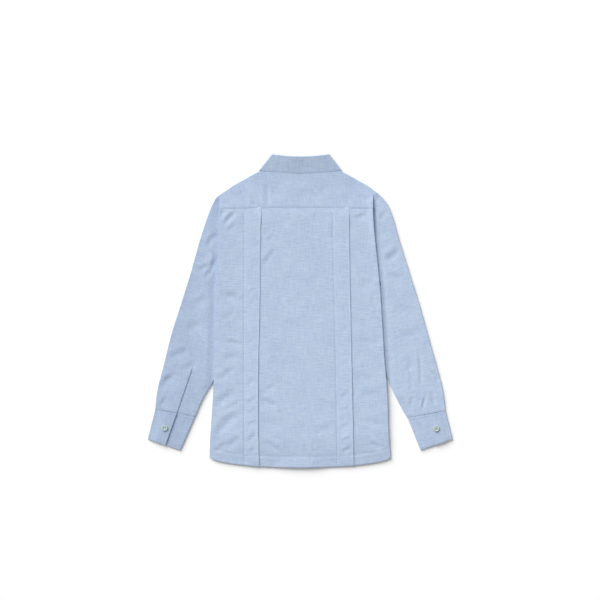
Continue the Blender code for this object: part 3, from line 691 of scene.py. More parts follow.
@dataclass(frozen=True)
class Back:
    """The back panel, with a raised tuck each side, rolled sides and a turned hem."""

    body: Body
    thickness: float = 0.32
    rows: int = 204
    left_columns: int = 29
    middle_columns: int = 62
    right_columns: int = 25
    middle_line: int = 105
    hem: float = 20.0
    turn_left: float = 0.1
    turn_right: float = 1.3
    under: float = 1.5
    tucks: tuple[tuple[TuckRow, ...], ...] = (
        (
            TuckRow(-297.0, -106.4, -77.4),
            TuckRow(-226.0, -106.6, -79.2),
            TuckRow(-93.0, -107.2, -79.2),
            TuckRow(21.0, -107.0, -76.5),
            TuckRow(125.0, -106.6, -75.8),
            TuckRow(197.0, -106.8, -73.6),
        ),
        (
            TuckRow(-297.0, 70.9, 102.4),
            TuckRow(-226.0, 69.8, 101.0),
            TuckRow(-131.0, 68.0, 98.8),
            TuckRow(-36.0, 66.1, 96.8),
            TuckRow(116.0, 62.4, 93.6),
            TuckRow(197.0, 61.4, 92.6),
        ),
    )
    creases: tuple[Crease, ...] = (
        Crease(-147.0, 160.0, -118.0, 190.0, 5.0, 0.50, 2.0),
        Crease(-147.0, 168.0, -151.0, 204.0, 5.0, 0.45, -1.0, 0.3),
        Crease(-139.0, 150.0, -120.0, 166.0, 4.0, 0.24),
        Crease(-71.0, 80.0, -44.0, 121.0, 5.0, 0.30, 1.5),
        Crease(-66.0, 130.0, -50.0, 141.0, 4.0, 0.16),
        Crease(66.0, 144.0, 54.0, 168.0, 3.0, 0.26),
        Crease(90.0, 122.0, 74.0, 146.0, 3.0, 0.24),
        Crease(-152.0, 42.0, -108.0, 16.0, 7.0, 0.34, -3.0),
        Crease(-146.0, 22.0, -112.0, 36.0, 6.0, 0.22),
        Crease(-146.0, -58.0, -109.0, -68.0, 5.0, 0.42, 2.0),
        Crease(-152.0, -92.0, -112.0, -84.0, 6.0, 0.20),
        Crease(-165.0, -244.0, -108.0, -190.0, 8.0, 0.46, 4.0),
        Crease(-160.0, -214.0, -120.0, -196.0, 7.0, 0.22),
        Crease(-140.0, -262.0, -108.0, -238.0, 6.0, 0.30, 2.0),
        Crease(-158.0, -136.0, -118.0, -108.0, 6.0, 0.26, 2.0),
        Crease(-162.0, -178.0, -124.0, -150.0, 7.0, 0.32, -2.0),
        Crease(-150.0, -196.0, -110.0, -172.0, 5.0, 0.20, 1.0),
        Crease(-156.0, -20.0, -120.0, -4.0, 6.0, 0.18, 1.0),
        Crease(-164.0, -268.0, -136.0, -250.0, 5.0, 0.26),
        Crease(-76.0, -166.0, -40.0, -182.0, 5.5, 0.46, -2.0),
        Crease(-76.0, -243.0, -38.0, -272.0, 5.5, 0.42, 2.0),
        Crease(-72.0, -208.0, -30.0, -222.0, 7.0, 0.24),
        Crease(-66.0, -150.0, -46.0, -141.0, 4.0, 0.20),
        Crease(24.0, -236.0, 66.0, -214.0, 7.0, 0.20),
        Crease(30.0, -168.0, 64.0, -186.0, 6.0, 0.16),
        Crease(106.0, -52.0, 146.0, -66.0, 6.0, 0.18),
        Crease(104.0, -118.0, 140.0, -134.0, 6.0, 0.20),
        Crease(108.0, -166.0, 156.0, -158.0, 7.0, 0.24, 2.0),
        Crease(112.0, -206.0, 158.0, -218.0, 7.0, 0.22),
        Crease(126.0, -248.0, 158.0, -262.0, 4.0, 0.42),
        Crease(108.0, 40.0, 138.0, 58.0, 6.0, 0.16),
        Crease(104.0, 172.0, 128.0, 186.0, 5.0, 0.30),
        Crease(-36.0, -20.0, 20.0, -32.0, 10.0, 0.14),
        Crease(-20.0, 62.0, 34.0, 50.0, 10.0, 0.12),
    )
    tuck_creases: tuple[Crease, ...] = (
        Crease(-108.0, 26.0, -82.0, 44.0, 4.0, 0.26),
        Crease(-104.0, 4.0, -86.0, 20.0, 3.4, 0.15),
        Crease(-106.0, -66.0, -86.0, -54.0, 4.0, 0.18),
        Crease(-108.0, -150.0, -82.0, -128.0, 4.6, 0.22, 1.5),
        Crease(-110.0, -178.0, -80.0, -164.0, 4.4, 0.30, -1.0),
        Crease(-104.0, -198.0, -84.0, -186.0, 3.2, 0.16),
        Crease(-110.0, -222.0, -80.0, -212.0, 4.2, 0.24, 1.5),
        Crease(-106.0, -250.0, -81.0, -230.0, 5.0, 0.30, -2.0),
        Crease(-102.0, -270.0, -84.0, -262.0, 3.4, 0.22),
        Crease(68.0, 146.0, 92.0, 120.0, 3.6, 0.20),
        Crease(70.0, -46.0, 92.0, -32.0, 4.4, 0.12),
        Crease(74.0, -104.0, 94.0, -96.0, 3.6, 0.14),
        Crease(78.0, -128.0, 96.0, -137.0, 3.0, 0.12),
        Crease(72.0, -172.0, 98.0, -152.0, 4.6, 0.16, 1.5),
        Crease(76.0, -160.0, 90.0, -167.0, 2.4, 0.10),
        Crease(76.0, -190.0, 96.0, -183.0, 3.0, 0.18),
        Crease(72.0, -226.0, 99.0, -208.0, 4.4, 0.17, -1.5),
        Crease(75.0, -204.0, 88.0, -209.0, 2.4, 0.11),
        Crease(78.0, -247.0, 99.0, -240.0, 3.2, 0.20),
        Crease(74.0, -234.0, 90.0, -229.0, 2.6, 0.11),
        Crease(74.0, -272.0, 100.0, -258.0, 4.0, 0.30),
    )
    band_line: tuple[tuple[float, float], ...] = (
        (-2.6, 0.0),
        (-1.4, -0.07),
        (-0.6, -0.24),
        (0.0, -0.33),
        (0.6, -0.21),
        (1.4, 0.0),
        (2.6, 0.10),
        (4.4, 0.18),
    )
    band_edge: tuple[tuple[float, float], ...] = (
        (-5.0, 0.82),
        (-3.2, 0.93),
        (-1.8, 1.05),
        (-0.9, 1.12),
    )
    fold: float = 0.46
    fold_depth: float = 7.0

    def turn(self, hand: Hand) -> float:
        """How wide the half turn at a side is."""
        return self.turn_left if hand is Hand.LEFT else self.turn_right

    def tuck_strength(self, y: Array) -> Array:
        """How far a tuck stands up: pressed flat into the yoke's seam and into the hem."""
        top = mix(0.06, 1.0, ramp(y, self.body.seam_side + 3.0, self.body.seam_side - 26.0))
        low = mix(0.25, 1.0, ramp(y, -284.0, -264.0))
        slack = 1.0 + 0.35 * bell(y - 176.0, 16.0) + 0.25 * ramp(y, -40.0, -150.0)
        return top * low * slack

    def tuck_edges(self, tuck: int, y: Array) -> tuple[Array, Array]:
        """Where a tuck's stitched line and its free fold lie at each level."""
        table = self.tucks[tuck]
        levels = [row.y for row in table]
        line = glide(y, levels, [row.line for row in table])
        return line, glide(y, levels, [row.fold for row in table])

    def tuck_columns(self, tuck: int, y: Array) -> tuple[Array, Array]:
        """A tuck's x and height over the plain back, one row for each level.

        From left to right: the stitched line with its groove, the band, its rolled free fold, the cloth
        back under it, the hidden fold, and out again under the free fold.

        Args:
            tuck: which tuck, 0 for the one on the left.
            y: the levels.

        Returns:
            x and height, as arrays of levels by columns.
        """
        line, fold = self.tuck_edges(tuck, y)
        line, fold = line[:, None], (fold + 0.35 * pucker(y, 46.0, 1.7 + tuck))[:, None]
        strength = self.tuck_strength(y)[:, None]
        start_x, start_z = np.array(self.band_line).T
        edge_x, edge_z = np.array(self.band_edge).T
        share = np.linspace(0.0, 1.0, 9)[1:-1]
        band_x = mix(line + start_x[-1], fold + edge_x[0], share)
        band_z = mix(start_z[-1], edge_z[0], share) + 0.10 * np.sin(np.pi * share)
        angle = half_turn(7)
        top = edge_z[-1] + 0.04
        turn_x = self.fold * (np.cos(angle) - 1.0)
        turn_z = top - self.fold + self.fold * np.sin(angle)
        back_x = np.array([-0.35, -0.7, -1.0]) * self.fold_depth
        back_z = np.full(3, top - 2 * self.fold)
        inner = (top - 2 * self.fold) / 2
        inner_x = -self.fold_depth - inner * np.array([0.87, 0.87])
        inner_z = inner + inner * np.array([0.5, -0.5])
        out_x = np.array([-self.fold_depth, -0.5 * self.fold_depth, -1.0, 0.6, 2.2])
        out_z = np.zeros(5)
        flat = np.ones_like(line)
        x = [line + start_x, band_x]
        x += [fold + part for part in (edge_x, turn_x, back_x, inner_x, out_x)]
        heights = (start_z, band_z, edge_z, turn_z, back_z, inner_z, out_z)
        z = [strength * flat * part for part in heights]
        return np.concatenate(x, axis=1), np.concatenate(z, axis=1)

    def relief(self, x: Array, y: Array) -> Array:
        """The back's creases, the ripples along its seams and hem, and its roll towards the sides."""
        body = self.body
        up_hem = y - (body.sides[0].y - body.hem_bow(x))
        seam = body.seam_y(x) - y
        line = up_hem - self.hem
        hem = -0.50 * bell(line, 1.5) + 0.12 * bell(line + 3.2, 2.0)
        hem = hem + 0.12 * pucker(x, 9.0, 0.6) * bell(line, 7.0)
        ripple = 0.16 * pucker(x, 13.0, 2.4) * np.exp(-np.maximum(seam, 0.0) / 9.0)
        side = 0.20 * pucker(y, 24.0, 0.3) * bell(body.edge(x, y) - 5.0, 8.0) * ramp(seam, 0.0, 8.0)
        droop = 0.5 * ramp(up_hem, 60.0, 0.0) * pucker(x, 120.0, 0.8)
        folds = sum(crease.height(x, y) for crease in self.creases)
        sewn = ramp(seam, 0.0, 10.0)
        sunk = 0.12 * ramp(seam, 9.0, 0.0)
        return swell(x, y) + (folds + ripple) * sewn + hem + side + droop + body.roll(x, y) - sunk

    def top(self, x: Array, y: Array) -> Array:
        """The height of the plain back's outer face."""
        return self.body.cover(x, y) + self.body.layer + self.relief(x, y)

    def grid(self) -> Array:
        """The back's outer face. Rows run from the yoke's seam to the hem and on round its turned fold.

        Returns:
            Rows, columns and x, y, z in millimetres.
        """
        body = self.body
        down = np.linspace(0.0, 1.0, self.rows)
        level = mix(body.seam_side, body.sides[0].y, down)
        tucks = [self.tuck_columns(tuck, level) for tuck in (0, 1)]
        sides = {}
        for hand in Hand:
            edge = body.side_x(level, hand) - self.turn(hand)
            sides[hand] = hand.value * edge[:, None]
        between = np.linspace(0, 1, self.middle_columns + 2)[1:-1]
        runs = [
            mix(sides[Hand.LEFT], tucks[0][0][:, :1], firm(self.left_columns, 0.004)[:-1]),
            tucks[0][0],
            mix(tucks[0][0][:, -1:], tucks[1][0][:, :1], between),
            tucks[1][0],
            mix(tucks[1][0][:, -1:], sides[Hand.RIGHT], firm_end(self.right_columns, 0.008)[1:]),
        ]
        ends = np.cumsum([0] + [run.shape[1] for run in runs])
        raised = [np.zeros_like(run) for run in runs]
        raised[1], raised[3] = tucks[0][1], tucks[1][1]
        x, over = np.concatenate(runs, axis=1), np.concatenate(raised, axis=1)
        seam, hem = body.seam_y(x) + 0.6, body.sides[0].y - body.hem_bow(x)
        y = mix(seam, hem, down[:, None])
        band = np.zeros_like(x)
        for run in (1, 3):
            columns = slice(ends[run], ends[run + 1])
            part = sum(crease.height(x[:, columns], y[:, columns]) for crease in self.tuck_creases)
            band[:, columns] = part * ramp(over[:, columns], 0.2, 0.7)
        grid = np.stack([x, y, self.top(x, y) + over + band], axis=2)
        return self.turn_hem(self.turn_sides(grid))

    def turn_sides(self, grid: Array) -> Array:
        """Adds each side's half turn and the strip under it.

        The turn is half an ellipse, which ends just over the front below the underarm, and just inside
        the sleeve's upper layer above it, where the armhole's edge is sewn down.
        """
        body = self.body
        angle = half_turn(10)[1:]
        parts = []
        for hand, column in ((Hand.LEFT, 0), (Hand.RIGHT, -1)):
            edge = grid[:, column]
            floor = body.lift(edge[:, 0], edge[:, 1]) + 0.05
            sewn = body.valley(edge[:, 1], hand) - 0.3
            drop = edge[:, 2] - mix(floor, sewn, ramp(edge[:, 1], body.underarm, 66.0))
            turned = np.repeat(edge[:, None], len(angle) + 1, axis=1)
            turned[:, :-1, 0] += hand.value * self.turn(hand) * np.cos(angle)
            turned[:, :-1, 2] += drop[:, None] / 2 * (np.sin(angle) - 1.0)
            turned[:, -1, 2] -= drop
            turned[:, -1, 0] -= hand.value * self.under
            parts.append(turned)
        return np.concatenate([parts[0][:, ::-1], grid, parts[1]], axis=1)

    def turn_hem(self, grid: Array) -> Array:
        """Adds the hem's fold, which is a half turn, and the strip that lies back under it.

        Neither goes lower than the clearance.
        """
        radius, gap, pitch = 0.5, 0.95, 2.35
        angle = half_turn(6)[1:]
        fold = np.repeat(grid[-1:], len(angle), axis=0)
        fold[:, :, 1] -= (radius * np.cos(angle))[:, None]
        fold[:, :, 2] += (radius * (np.sin(angle) - 1.0))[:, None]
        rows = [int(round(share * self.hem / pitch)) for share in (0.35, 0.7, 1.0)]
        under = np.array([grid[-1 - row] for row in rows])
        under[:, :, 2] -= gap
        turned = np.concatenate([fold, under])
        turned[:, :, 2] = np.maximum(turned[:, :, 2], CLEARANCE)
        return np.concatenate([grid, turned])

    def lines(self) -> list[Array]:
        """The back's stitched lines: along both tucks' lines, and round the hem."""
        paths = []
        y = np.linspace(191.0, -288.0, 240)
        for tuck in (0, 1):
            x, _ = self.tuck_edges(tuck, y)
            paths.append(np.column_stack([x, y, self.top(x, y) - 0.24]))
        x = np.linspace(-166.0, 166.0, 200)
        y = self.body.sides[0].y - self.body.hem_bow(x) + self.hem
        z = self.top(x, y) + 0.05
        for tuck in (0, 1):
            line, fold = self.tuck_edges(tuck, y)
            z = z + ramp(x, line, line + 3.0) * (x < fold) * 0.95 * self.tuck_strength(y)
        paths.append(np.column_stack([x, y, z]))
        return paths

    def build(self, cloth: bpy.types.Material, thread: bpy.types.Material) -> list[bpy.types.Object]:
        """Builds the panel and its stitching."""
        origin = (0, self.middle_line)
        piece = cloth_piece("back_panel", self.grid(), self.thickness, flip=True, origin=origin)
        cut = {"flat": (0.385, 0.515), "area": 0.186, "held": "laid", "rests_on": list(FRONT_PANELS)}
        return sew(piece, "back", cloth, self.lines(), thread, **cut)


@dataclass(frozen=True)
class Front:
    """A plain front panel, turned and stitched along its buttoned edge and hem."""

    body: Body
    hand: Hand
    thickness: float = 0.32
    rows: int = 190
    columns: int = 64
    overlap: float = 14.0
    facing: float = 26.0
    hem_short: float = 4.0
    turn_clear: float = 3.1
    corner: float = 0.80
    neck_share: float = 0.79
    creases: tuple[Crease, ...] = (
        Crease(40.0, -190.0, 96.0, -150.0, 7.0, 0.40),
        Crease(70.0, -90.0, 132.0, -120.0, 8.0, 0.36, 4.0),
        Crease(30.0, -40.0, 60.0, -66.0, 6.0, 0.30),
        Crease(60.0, 40.0, 110.0, 12.0, 8.0, 0.34),
        Crease(90.0, 110.0, 136.0, 140.0, 6.0, 0.40),
        Crease(34.0, 120.0, 58.0, 96.0, 6.0, 0.26),
        Crease(104.0, -220.0, 150.0, -200.0, 7.0, 0.34),
    )

    def outline(self) -> tuple[Array, Array]:
        """The ends of every row: on the side and armhole, and on the buttoned edge and neckline.

        The inner end climbs the buttoned edge to the corner at the neck, then runs round most of a
        quarter of an ellipse to the shoulder, while the outer end climbs the side. Both are x, y, with
        x from the middle.

        Returns:
            The outer and the inner ends.
        """
        body = self.body
        low, neck_low = body.sides[0].y, body.neck_side - body.neck_depth
        share = np.linspace(0.0, 1.0, self.rows)
        outer_y = glide(share, (0.0, 0.62, self.corner, 1.0), (low, 85.0, 158.0, 206.0))
        outer_x = body.side_x(outer_y, self.hand)
        outer_x = outer_x - mix(self.turn_clear, 0.35, ramp(outer_y, body.underarm, 66.0))
        straight = np.minimum(share / self.corner, 1.0)
        round_neck = np.clip((share - self.corner) / 0.20, 0.0, 1.0)
        angle = np.radians(90.0 * round_neck * self.neck_share)
        inner_y = glide(straight, (0.0, 0.775, 1.0), (low, 85.0, neck_low))
        inner_y = inner_y + body.neck_depth * (1.0 - np.cos(angle))
        step = ramp(share, self.corner, 0.825)
        inner_x = mix(-self.overlap, body.neck_half * np.sin(angle), step)
        return np.column_stack([outer_x, outer_y]), np.column_stack([inner_x, inner_y])

    def height(self, x: Array, y: Array) -> Array:
        """The front's lower face: its lift, with creases that only rise off the surface."""
        relief = sum(crease.height(np.abs(x), y) for crease in self.creases) + 0.5 * swell(x, -y)
        return self.body.lift(x, y, self.hand) + np.maximum(relief, 0.0)

    def grid(self) -> Array:
        """The front's lower face, from its side to its buttoned edge, where it turns up and back."""
        outer, inner = self.outline()
        share = np.linspace(0.0, 1.0, self.columns)
        x = self.hand.value * mix(outer[:, :1], inner[:, :1], share)
        y = mix(outer[:, 1:], inner[:, 1:], share)
        near_hem = ramp(y, -152.0, self.body.sides[0].y)
        y = y - self.body.hem_bow(x) * near_hem + self.hem_short * ramp(y, -230.0, -276.0)
        return np.stack([x, y, self.height(x, y)], axis=2)

    def lines(self) -> list[Array]:
        """Stitched lines by the buttoned edge, along the facing and round the hem."""
        paths = []
        y = np.linspace(-282.0, 196.0, 200)
        for inset in (3.0, self.facing):
            x = np.full_like(y, self.hand.value * (inset - self.overlap))
            paths.append(np.column_stack([x, y, self.height(x, y) + 0.14]))
        x = self.hand.value * np.linspace(-self.overlap + 2.0, 164.0, 120)
        y = self.body.sides[0].y - self.body.hem_bow(x) + self.hem_short + 20.0
        paths.append(np.column_stack([x, y, self.height(x, y) + 0.14]))
        return paths

    def build(self, cloth: bpy.types.Material, thread: bpy.types.Material) -> list[bpy.types.Object]:
        """Builds the panel and its stitching."""
        node, flip = f"front_{self.hand.word}", self.hand is Hand.LEFT
        piece = cloth_piece(f"{node}_panel", self.grid(), self.thickness, flip=flip)
        cut = {"flat": (0.187, 0.535), "area": 0.087, "held": "laid"}
        if self.hand is Hand.RIGHT:
            cut["rests_on"] = ["front_left_panel"]
        return sew(piece, node, cloth, self.lines(), thread, **cut)


@dataclass(frozen=True)
class Yoke:
    """The yoke: across the shoulders, over the shoulder folds, and down to a seam on each front."""

    body: Body
    thickness: float = 0.32
    height: float = 2.79
    rows: int = 40
    columns: int = 44
    strip_rows: int = 14
    tip_steps: int = 6
    seam_at_neck: float = 248.0
    seam_drop: float = 22.5
    tip_clear: float = 0.3
    shoulder: tuple[tuple[float, float], ...] = (
        (70.0, 269.6),
        (80.0, 264.4),
        (90.0, 259.3),
        (109.0, 248.9),
        (130.0, 236.9),
        (138.6, 230.8),
        (152.5, 221.6),
    )
    creases: tuple[Crease, ...] = (
        Crease(-60.0, 198.0, -68.0, 246.0, 5.0, 0.36, -2.0),
        Crease(-50.0, 212.0, -48.0, 240.0, 4.0, 0.20),
        Crease(-92.0, 208.0, -80.0, 192.0, 4.0, 0.30),
        Crease(-116.0, 232.0, -96.0, 204.0, 6.0, 0.26),
        Crease(62.0, 198.0, 38.0, 244.0, 5.0, 0.36, 2.0),
        Crease(96.0, 200.0, 84.0, 226.0, 5.0, 0.20),
        Crease(2.0, 206.0, 8.0, 236.0, 6.0, 0.14),
        Crease(108.0, 220.0, 130.0, 206.0, 5.0, 0.24),
    )

    def shoulder_y(self, x: Array) -> Array:
        """The level of the shoulder fold at a distance from the middle line."""
        places, levels = zip(*self.shoulder)
        return glide(np.abs(x), places, levels)

    def top(self, x: Array, y: Array) -> Array:
        """The height of the yoke's outer face on the back."""
        seam = self.body.seam_y(x)
        up = y - seam
        edge = -0.12 * bell(up, 0.9) + 0.08 * bell(up - 3.2, 2.2) - 0.08 * bell(up - 1.6, 0.7)
        ripple = 0.10 * pucker(x, 11.0, 1.1) * np.exp(-np.maximum(up, 0.0) / 7.0) * ramp(up, 0.0, 5.0)
        folds = sum(crease.height(x, y) for crease in self.creases) * ramp(up, 0.0, 10.0)
        relief = swell(x, y) + folds + edge + ripple + self.body.roll(x, y)
        return self.body.cover(x, y) + self.height + relief

    def row(self, share: float, reach: float, level: float, strip: float) -> Array:
        """One row of the yoke.

        Args:
            share: how far up the upper layer, from the seam to the fold.
            reach: how far past the fold line, in millimetres.
            level: the share of the yoke's half height, 1 on top and -1 underneath.
            strip: how far down the front strip, from the fold line to its seam.

        Returns:
            The row's points.
        """
        body, radius = self.body, self.height / 2
        ends = []
        out = firm_end(self.columns - 1, 0.006)
        for hand, order in ((Hand.LEFT, -1), (Hand.RIGHT, 1)):
            tip = body.side_x(210.0, hand) - self.tip_clear
            x = mix(body.neck_half, tip, out)
            fold = self.shoulder_y(x) - radius
            low = self.shoulder_y(tip) - self.seam_drop
            front = mix(self.seam_at_neck, low, (x - body.neck_half) / (tip - body.neck_half))
            y = mix(body.seam_y(x) - 0.5, fold, share) + reach + (front - fold) * strip
            x = mix(body.neck_half, body.side_x(y, hand) - self.tip_clear, out)
            ends.append(np.column_stack([hand.value * x, y])[::order])
        inner = np.linspace(-body.neck_half, body.neck_half, 62)[1:-1]
        middle = mix(body.seam_y(inner) - 0.5, body.neck_y(inner) - radius, share)
        plan = np.concatenate([ends[0], np.column_stack([inner, middle]), ends[1]])
        x, y = plan.T
        z = mix(body.lift(x, y), self.top(x, y), (1.0 + level) / 2)
        return np.column_stack([x, y, z])

    def grid(self) -> Array:
        """All the yoke's rows: a hidden edge, the upper layer, the fold and the front strips."""
        radius = self.height / 2
        shares = np.insert(firm(self.rows - 2, 0.004), -1, 0.988)
        rows = [self.row(share, 0.0, 1.0, 0.0) for share in shares]
        tucked = rows[0] - np.array([0.0, 0.0, 0.5])
        angles = half_turn(10)[1:-1]
        rows += [self.row(1.0, radius * np.cos(angle), np.sin(angle), 0.0) for angle in angles]
        rows += [self.row(1.0, 0.0, -1.0, strip) for strip in np.linspace(0.0, 1.0, self.strip_rows)]
        grid = np.array([tucked] + rows)
        strips, neck_columns = slice(1 - self.strip_rows, None), [self.columns - 1, -self.columns]
        neck = grid[strips, neck_columns]
        down = np.clip((self.body.neck_side - neck[..., 1]) / self.body.neck_depth, 0.0, 1.0)
        neck_x = self.body.neck_half * np.sqrt(1.0 - down**2) + 0.3
        grid[strips, neck_columns, 0] = np.sign(neck[..., 0]) * neck_x
        return self.turn_tips(grid)

    def turn_tips(self, grid: Array) -> Array:
        """Turns each armhole edge down to the sleeve over the upper layer, and less round the fold."""
        angle = half_turn(self.tip_steps + 1)[1:]
        share = np.zeros(len(grid))
        share[: self.rows + 1] = 1.0 - ramp(np.linspace(0.0, 1.0, self.rows + 1), 0.85, 1.0)
        parts = []
        for hand, column in ((Hand.LEFT, 0), (Hand.RIGHT, -1)):
            turned = np.repeat(grid[:, column][:, None], len(angle), axis=1)
            turned[:, :, 0] += hand.value * 0.6 * np.cos(angle) * share[:, None]
            depth = grid[:, column, 2] - self.body.valley(grid[:, column, 1], hand) + 0.3
            turned[:, :, 2] += (np.maximum(depth, 0.0) * share)[:, None] / 2 * (np.sin(angle) - 1.0)
            parts.append(turned)
        return np.concatenate([parts[0][:, ::-1], grid, parts[1]], axis=1)

    def keep(self, grid: Array) -> Array:
        """Which quads there are: none past the fold over the neck."""
        rows, columns = grid.shape[0] - 1, grid.shape[1] - 1
        row, column = np.indices((rows, columns))
        first = self.columns - 1 + self.tip_steps
        over_neck = (column >= first) & (column < columns - first)
        return ~(over_neck & (row >= self.rows))

    def lines(self) -> list[Array]:
        """A stitched line just above the back seam."""
        x = np.linspace(-150.0, 139.0, 180)
        y = self.body.seam_y(x) + 1.8
        return [np.column_stack([x, y, self.top(x, y)])]

    def build(self, cloth: bpy.types.Material, thread: bpy.types.Material) -> list[bpy.types.Object]:
        """Builds the yoke and its stitching."""
        grid = self.grid()
        piece = cloth_piece("yoke_panel", grid, self.thickness, keep=self.keep(grid))
        cut = {"flat": (0.300, 0.110), "area": 0.0237, "held": "laid", "rests_on": list(FRONT_PANELS)}
        return sew(piece, "yoke", cloth, self.lines(), thread, "yoke_cloth", **cut)


@dataclass(frozen=True)
class EdgePoint:
    """A point of a sleeve's long edge, on each side, with x from the middle line."""

    left_x: float
    left_y: float
    right_x: float
    right_y: float

    def place(self, hand: Hand) -> tuple[float, float]:
        """The point's x and y on one side."""
        if hand is Hand.LEFT:
            return -self.left_x, self.left_y
        return self.right_x, self.right_y


@dataclass(frozen=True)
class SleevePlan:
    """The outlines of both sleeves and cuffs as they lie."""

    outer: tuple[EdgePoint, ...] = (
        EdgePoint(152.4, 221.0, 138.8, 230.4),
        EdgePoint(158.4, 216.4, 149.7, 222.1),
        EdgePoint(165.7, 205.0, 164.9, 205.0),
        EdgePoint(174.8, 183.0, 174.4, 182.2),
        EdgePoint(190.4, 136.6, 187.7, 136.6),
        EdgePoint(207.5, 75.8, 206.7, 75.8),
        EdgePoint(226.5, 15.0, 225.7, 15.0),
        EdgePoint(245.5, -45.8, 242.8, -45.8),
        EdgePoint(260.7, -106.6, 259.9, -106.6),
        EdgePoint(272.1, -152.2, 271.3, -152.2),
        EdgePoint(276.2, -188.0, 276.6, -191.0),
    )
    inner: tuple[EdgePoint, ...] = (
        EdgePoint(160.3, 57.0, 152.8, 57.0),
        EdgePoint(153.0, 10.0, 147.0, 10.0),
        EdgePoint(150.0, -50.0, 146.0, -50.0),
        EdgePoint(157.0, -105.0, 156.0, -98.0),
        EdgePoint(164.7, -133.0, 165.9, -127.5),
        EdgePoint(177.1, -152.2, 176.3, -152.2),
        EdgePoint(192.3, -182.6, 191.5, -182.6),
        EdgePoint(200.0, -201.6, 204.5, -204.5),
    )
    cuff_outer: EdgePoint = EdgePoint(290.1, -243.4, 289.8, -243.4)
    cuff_inner: EdgePoint = EdgePoint(227.6, -264.7, 228.4, -264.3)
    slit: float = 0.55


def edge_at(points: Array, share: Array) -> Array:
    """Points at shares of a smooth curve's length, where the curve runs through a table's points."""
    run = np.concatenate([[0.0], np.cumsum(np.hypot(*np.diff(points, axis=0).T))])
    run = run / run[-1]
    return np.column_stack([glide(share, run, points[:, axis]) for axis in (0, 1)])


def edge_normal(points: Array, share: Array, hand: Hand) -> Array:
    """The unit vector across an edge at each share, away from the body on the outer edge."""
    ahead = edge_at(points, np.minimum(share + 0.02, 1.0))
    behind = edge_at(points, np.maximum(share - 0.02, 0.0))
    along = ahead - behind
    along = along / np.hypot(*along.T)[:, None]
    return hand.value * np.column_stack([-along[:, 1], along[:, 0]])


@dataclass(frozen=True)
class Tube:
    """A flattened tube between two edges, slit along its upper layer, its slit edges lapped.

    Each ring runs from the lower slit edge over the near part, round the inner edge, back underneath,
    round the outer edge, and over the flap to the upper slit edge.
    """

    outer: Array
    inner: Array
    outer_normal: Array
    inner_normal: Array
    slit: Array
    lap: Array
    raised: Array
    radius: float
    near_columns: int = 30
    flap_columns: int = 32

    def grid(self, top: Callable[[Array, Array], Array], rise: float) -> Array:
        """The tube's outer face.

        Args:
            top: the upper layer's height at x and y.
            rise: how high the flap lies over the near part.

        Returns:
            Rings, columns and x, y, z in millimetres.
        """
        start = self.outer - self.radius * self.outer_normal
        end = self.inner - self.radius * self.inner_normal
        length = np.hypot(*(end - start).T)[:, None]
        lap, raised = self.lap[:, None], self.raised[:, None]
        cut = self.slit[:, None] * length
        near = mix(cut - lap, length, firm_end(self.near_columns - 1, RIM))
        flap = firm(self.flap_columns - 1, RIM) * cut
        flap_rise = raised * rise * ramp(flap, np.maximum(cut - lap - 26.0, 1.0), cut - lap)
        flap_rise = flap_rise + raised * 0.12 * ramp(flap, cut - 2.5, cut)
        under = mix(length, 0.0 * length, np.linspace(0.0, 1.0, 26))

        def flat(s: Array) -> tuple[Array, Array]:
            """x and y at distances along each ring's chord."""
            share = (s / length)[..., None]
            plan = mix(start[:, None], end[:, None], share)
            return plan[..., 0], plan[..., 1]

        def layer(s: Array, extra: Array) -> Array:
            """Points of the upper layer."""
            x, y = flat(s)
            return np.stack([x, y, top(x, y) + extra], axis=2)

        def turn(place: Array, normal: Array, height: Array, order: int) -> Array:
            """Half an ellipse round one edge, from the top down or back."""
            angle = half_turn(11)[1:-1][::order]
            plan = place[:, None] + self.radius * np.cos(angle)[None, :, None] * normal[:, None]
            z = height[:, None] / 2 * (1.0 + np.sin(angle))
            return np.concatenate([plan, z[..., None]], axis=2)

        upper_near, upper_flap = layer(near, np.zeros_like(near)), layer(flap, flap_rise)
        x, y = flat(under)
        lower = np.stack([x, y, np.zeros_like(x)], axis=2)
        parts = [
            upper_near,
            turn(end, self.inner_normal, upper_near[:, -1, 2], 1),
            lower,
            turn(start, self.outer_normal, upper_flap[:, 0, 2], -1),
            upper_flap,
        ]
        return np.concatenate(parts, axis=1)


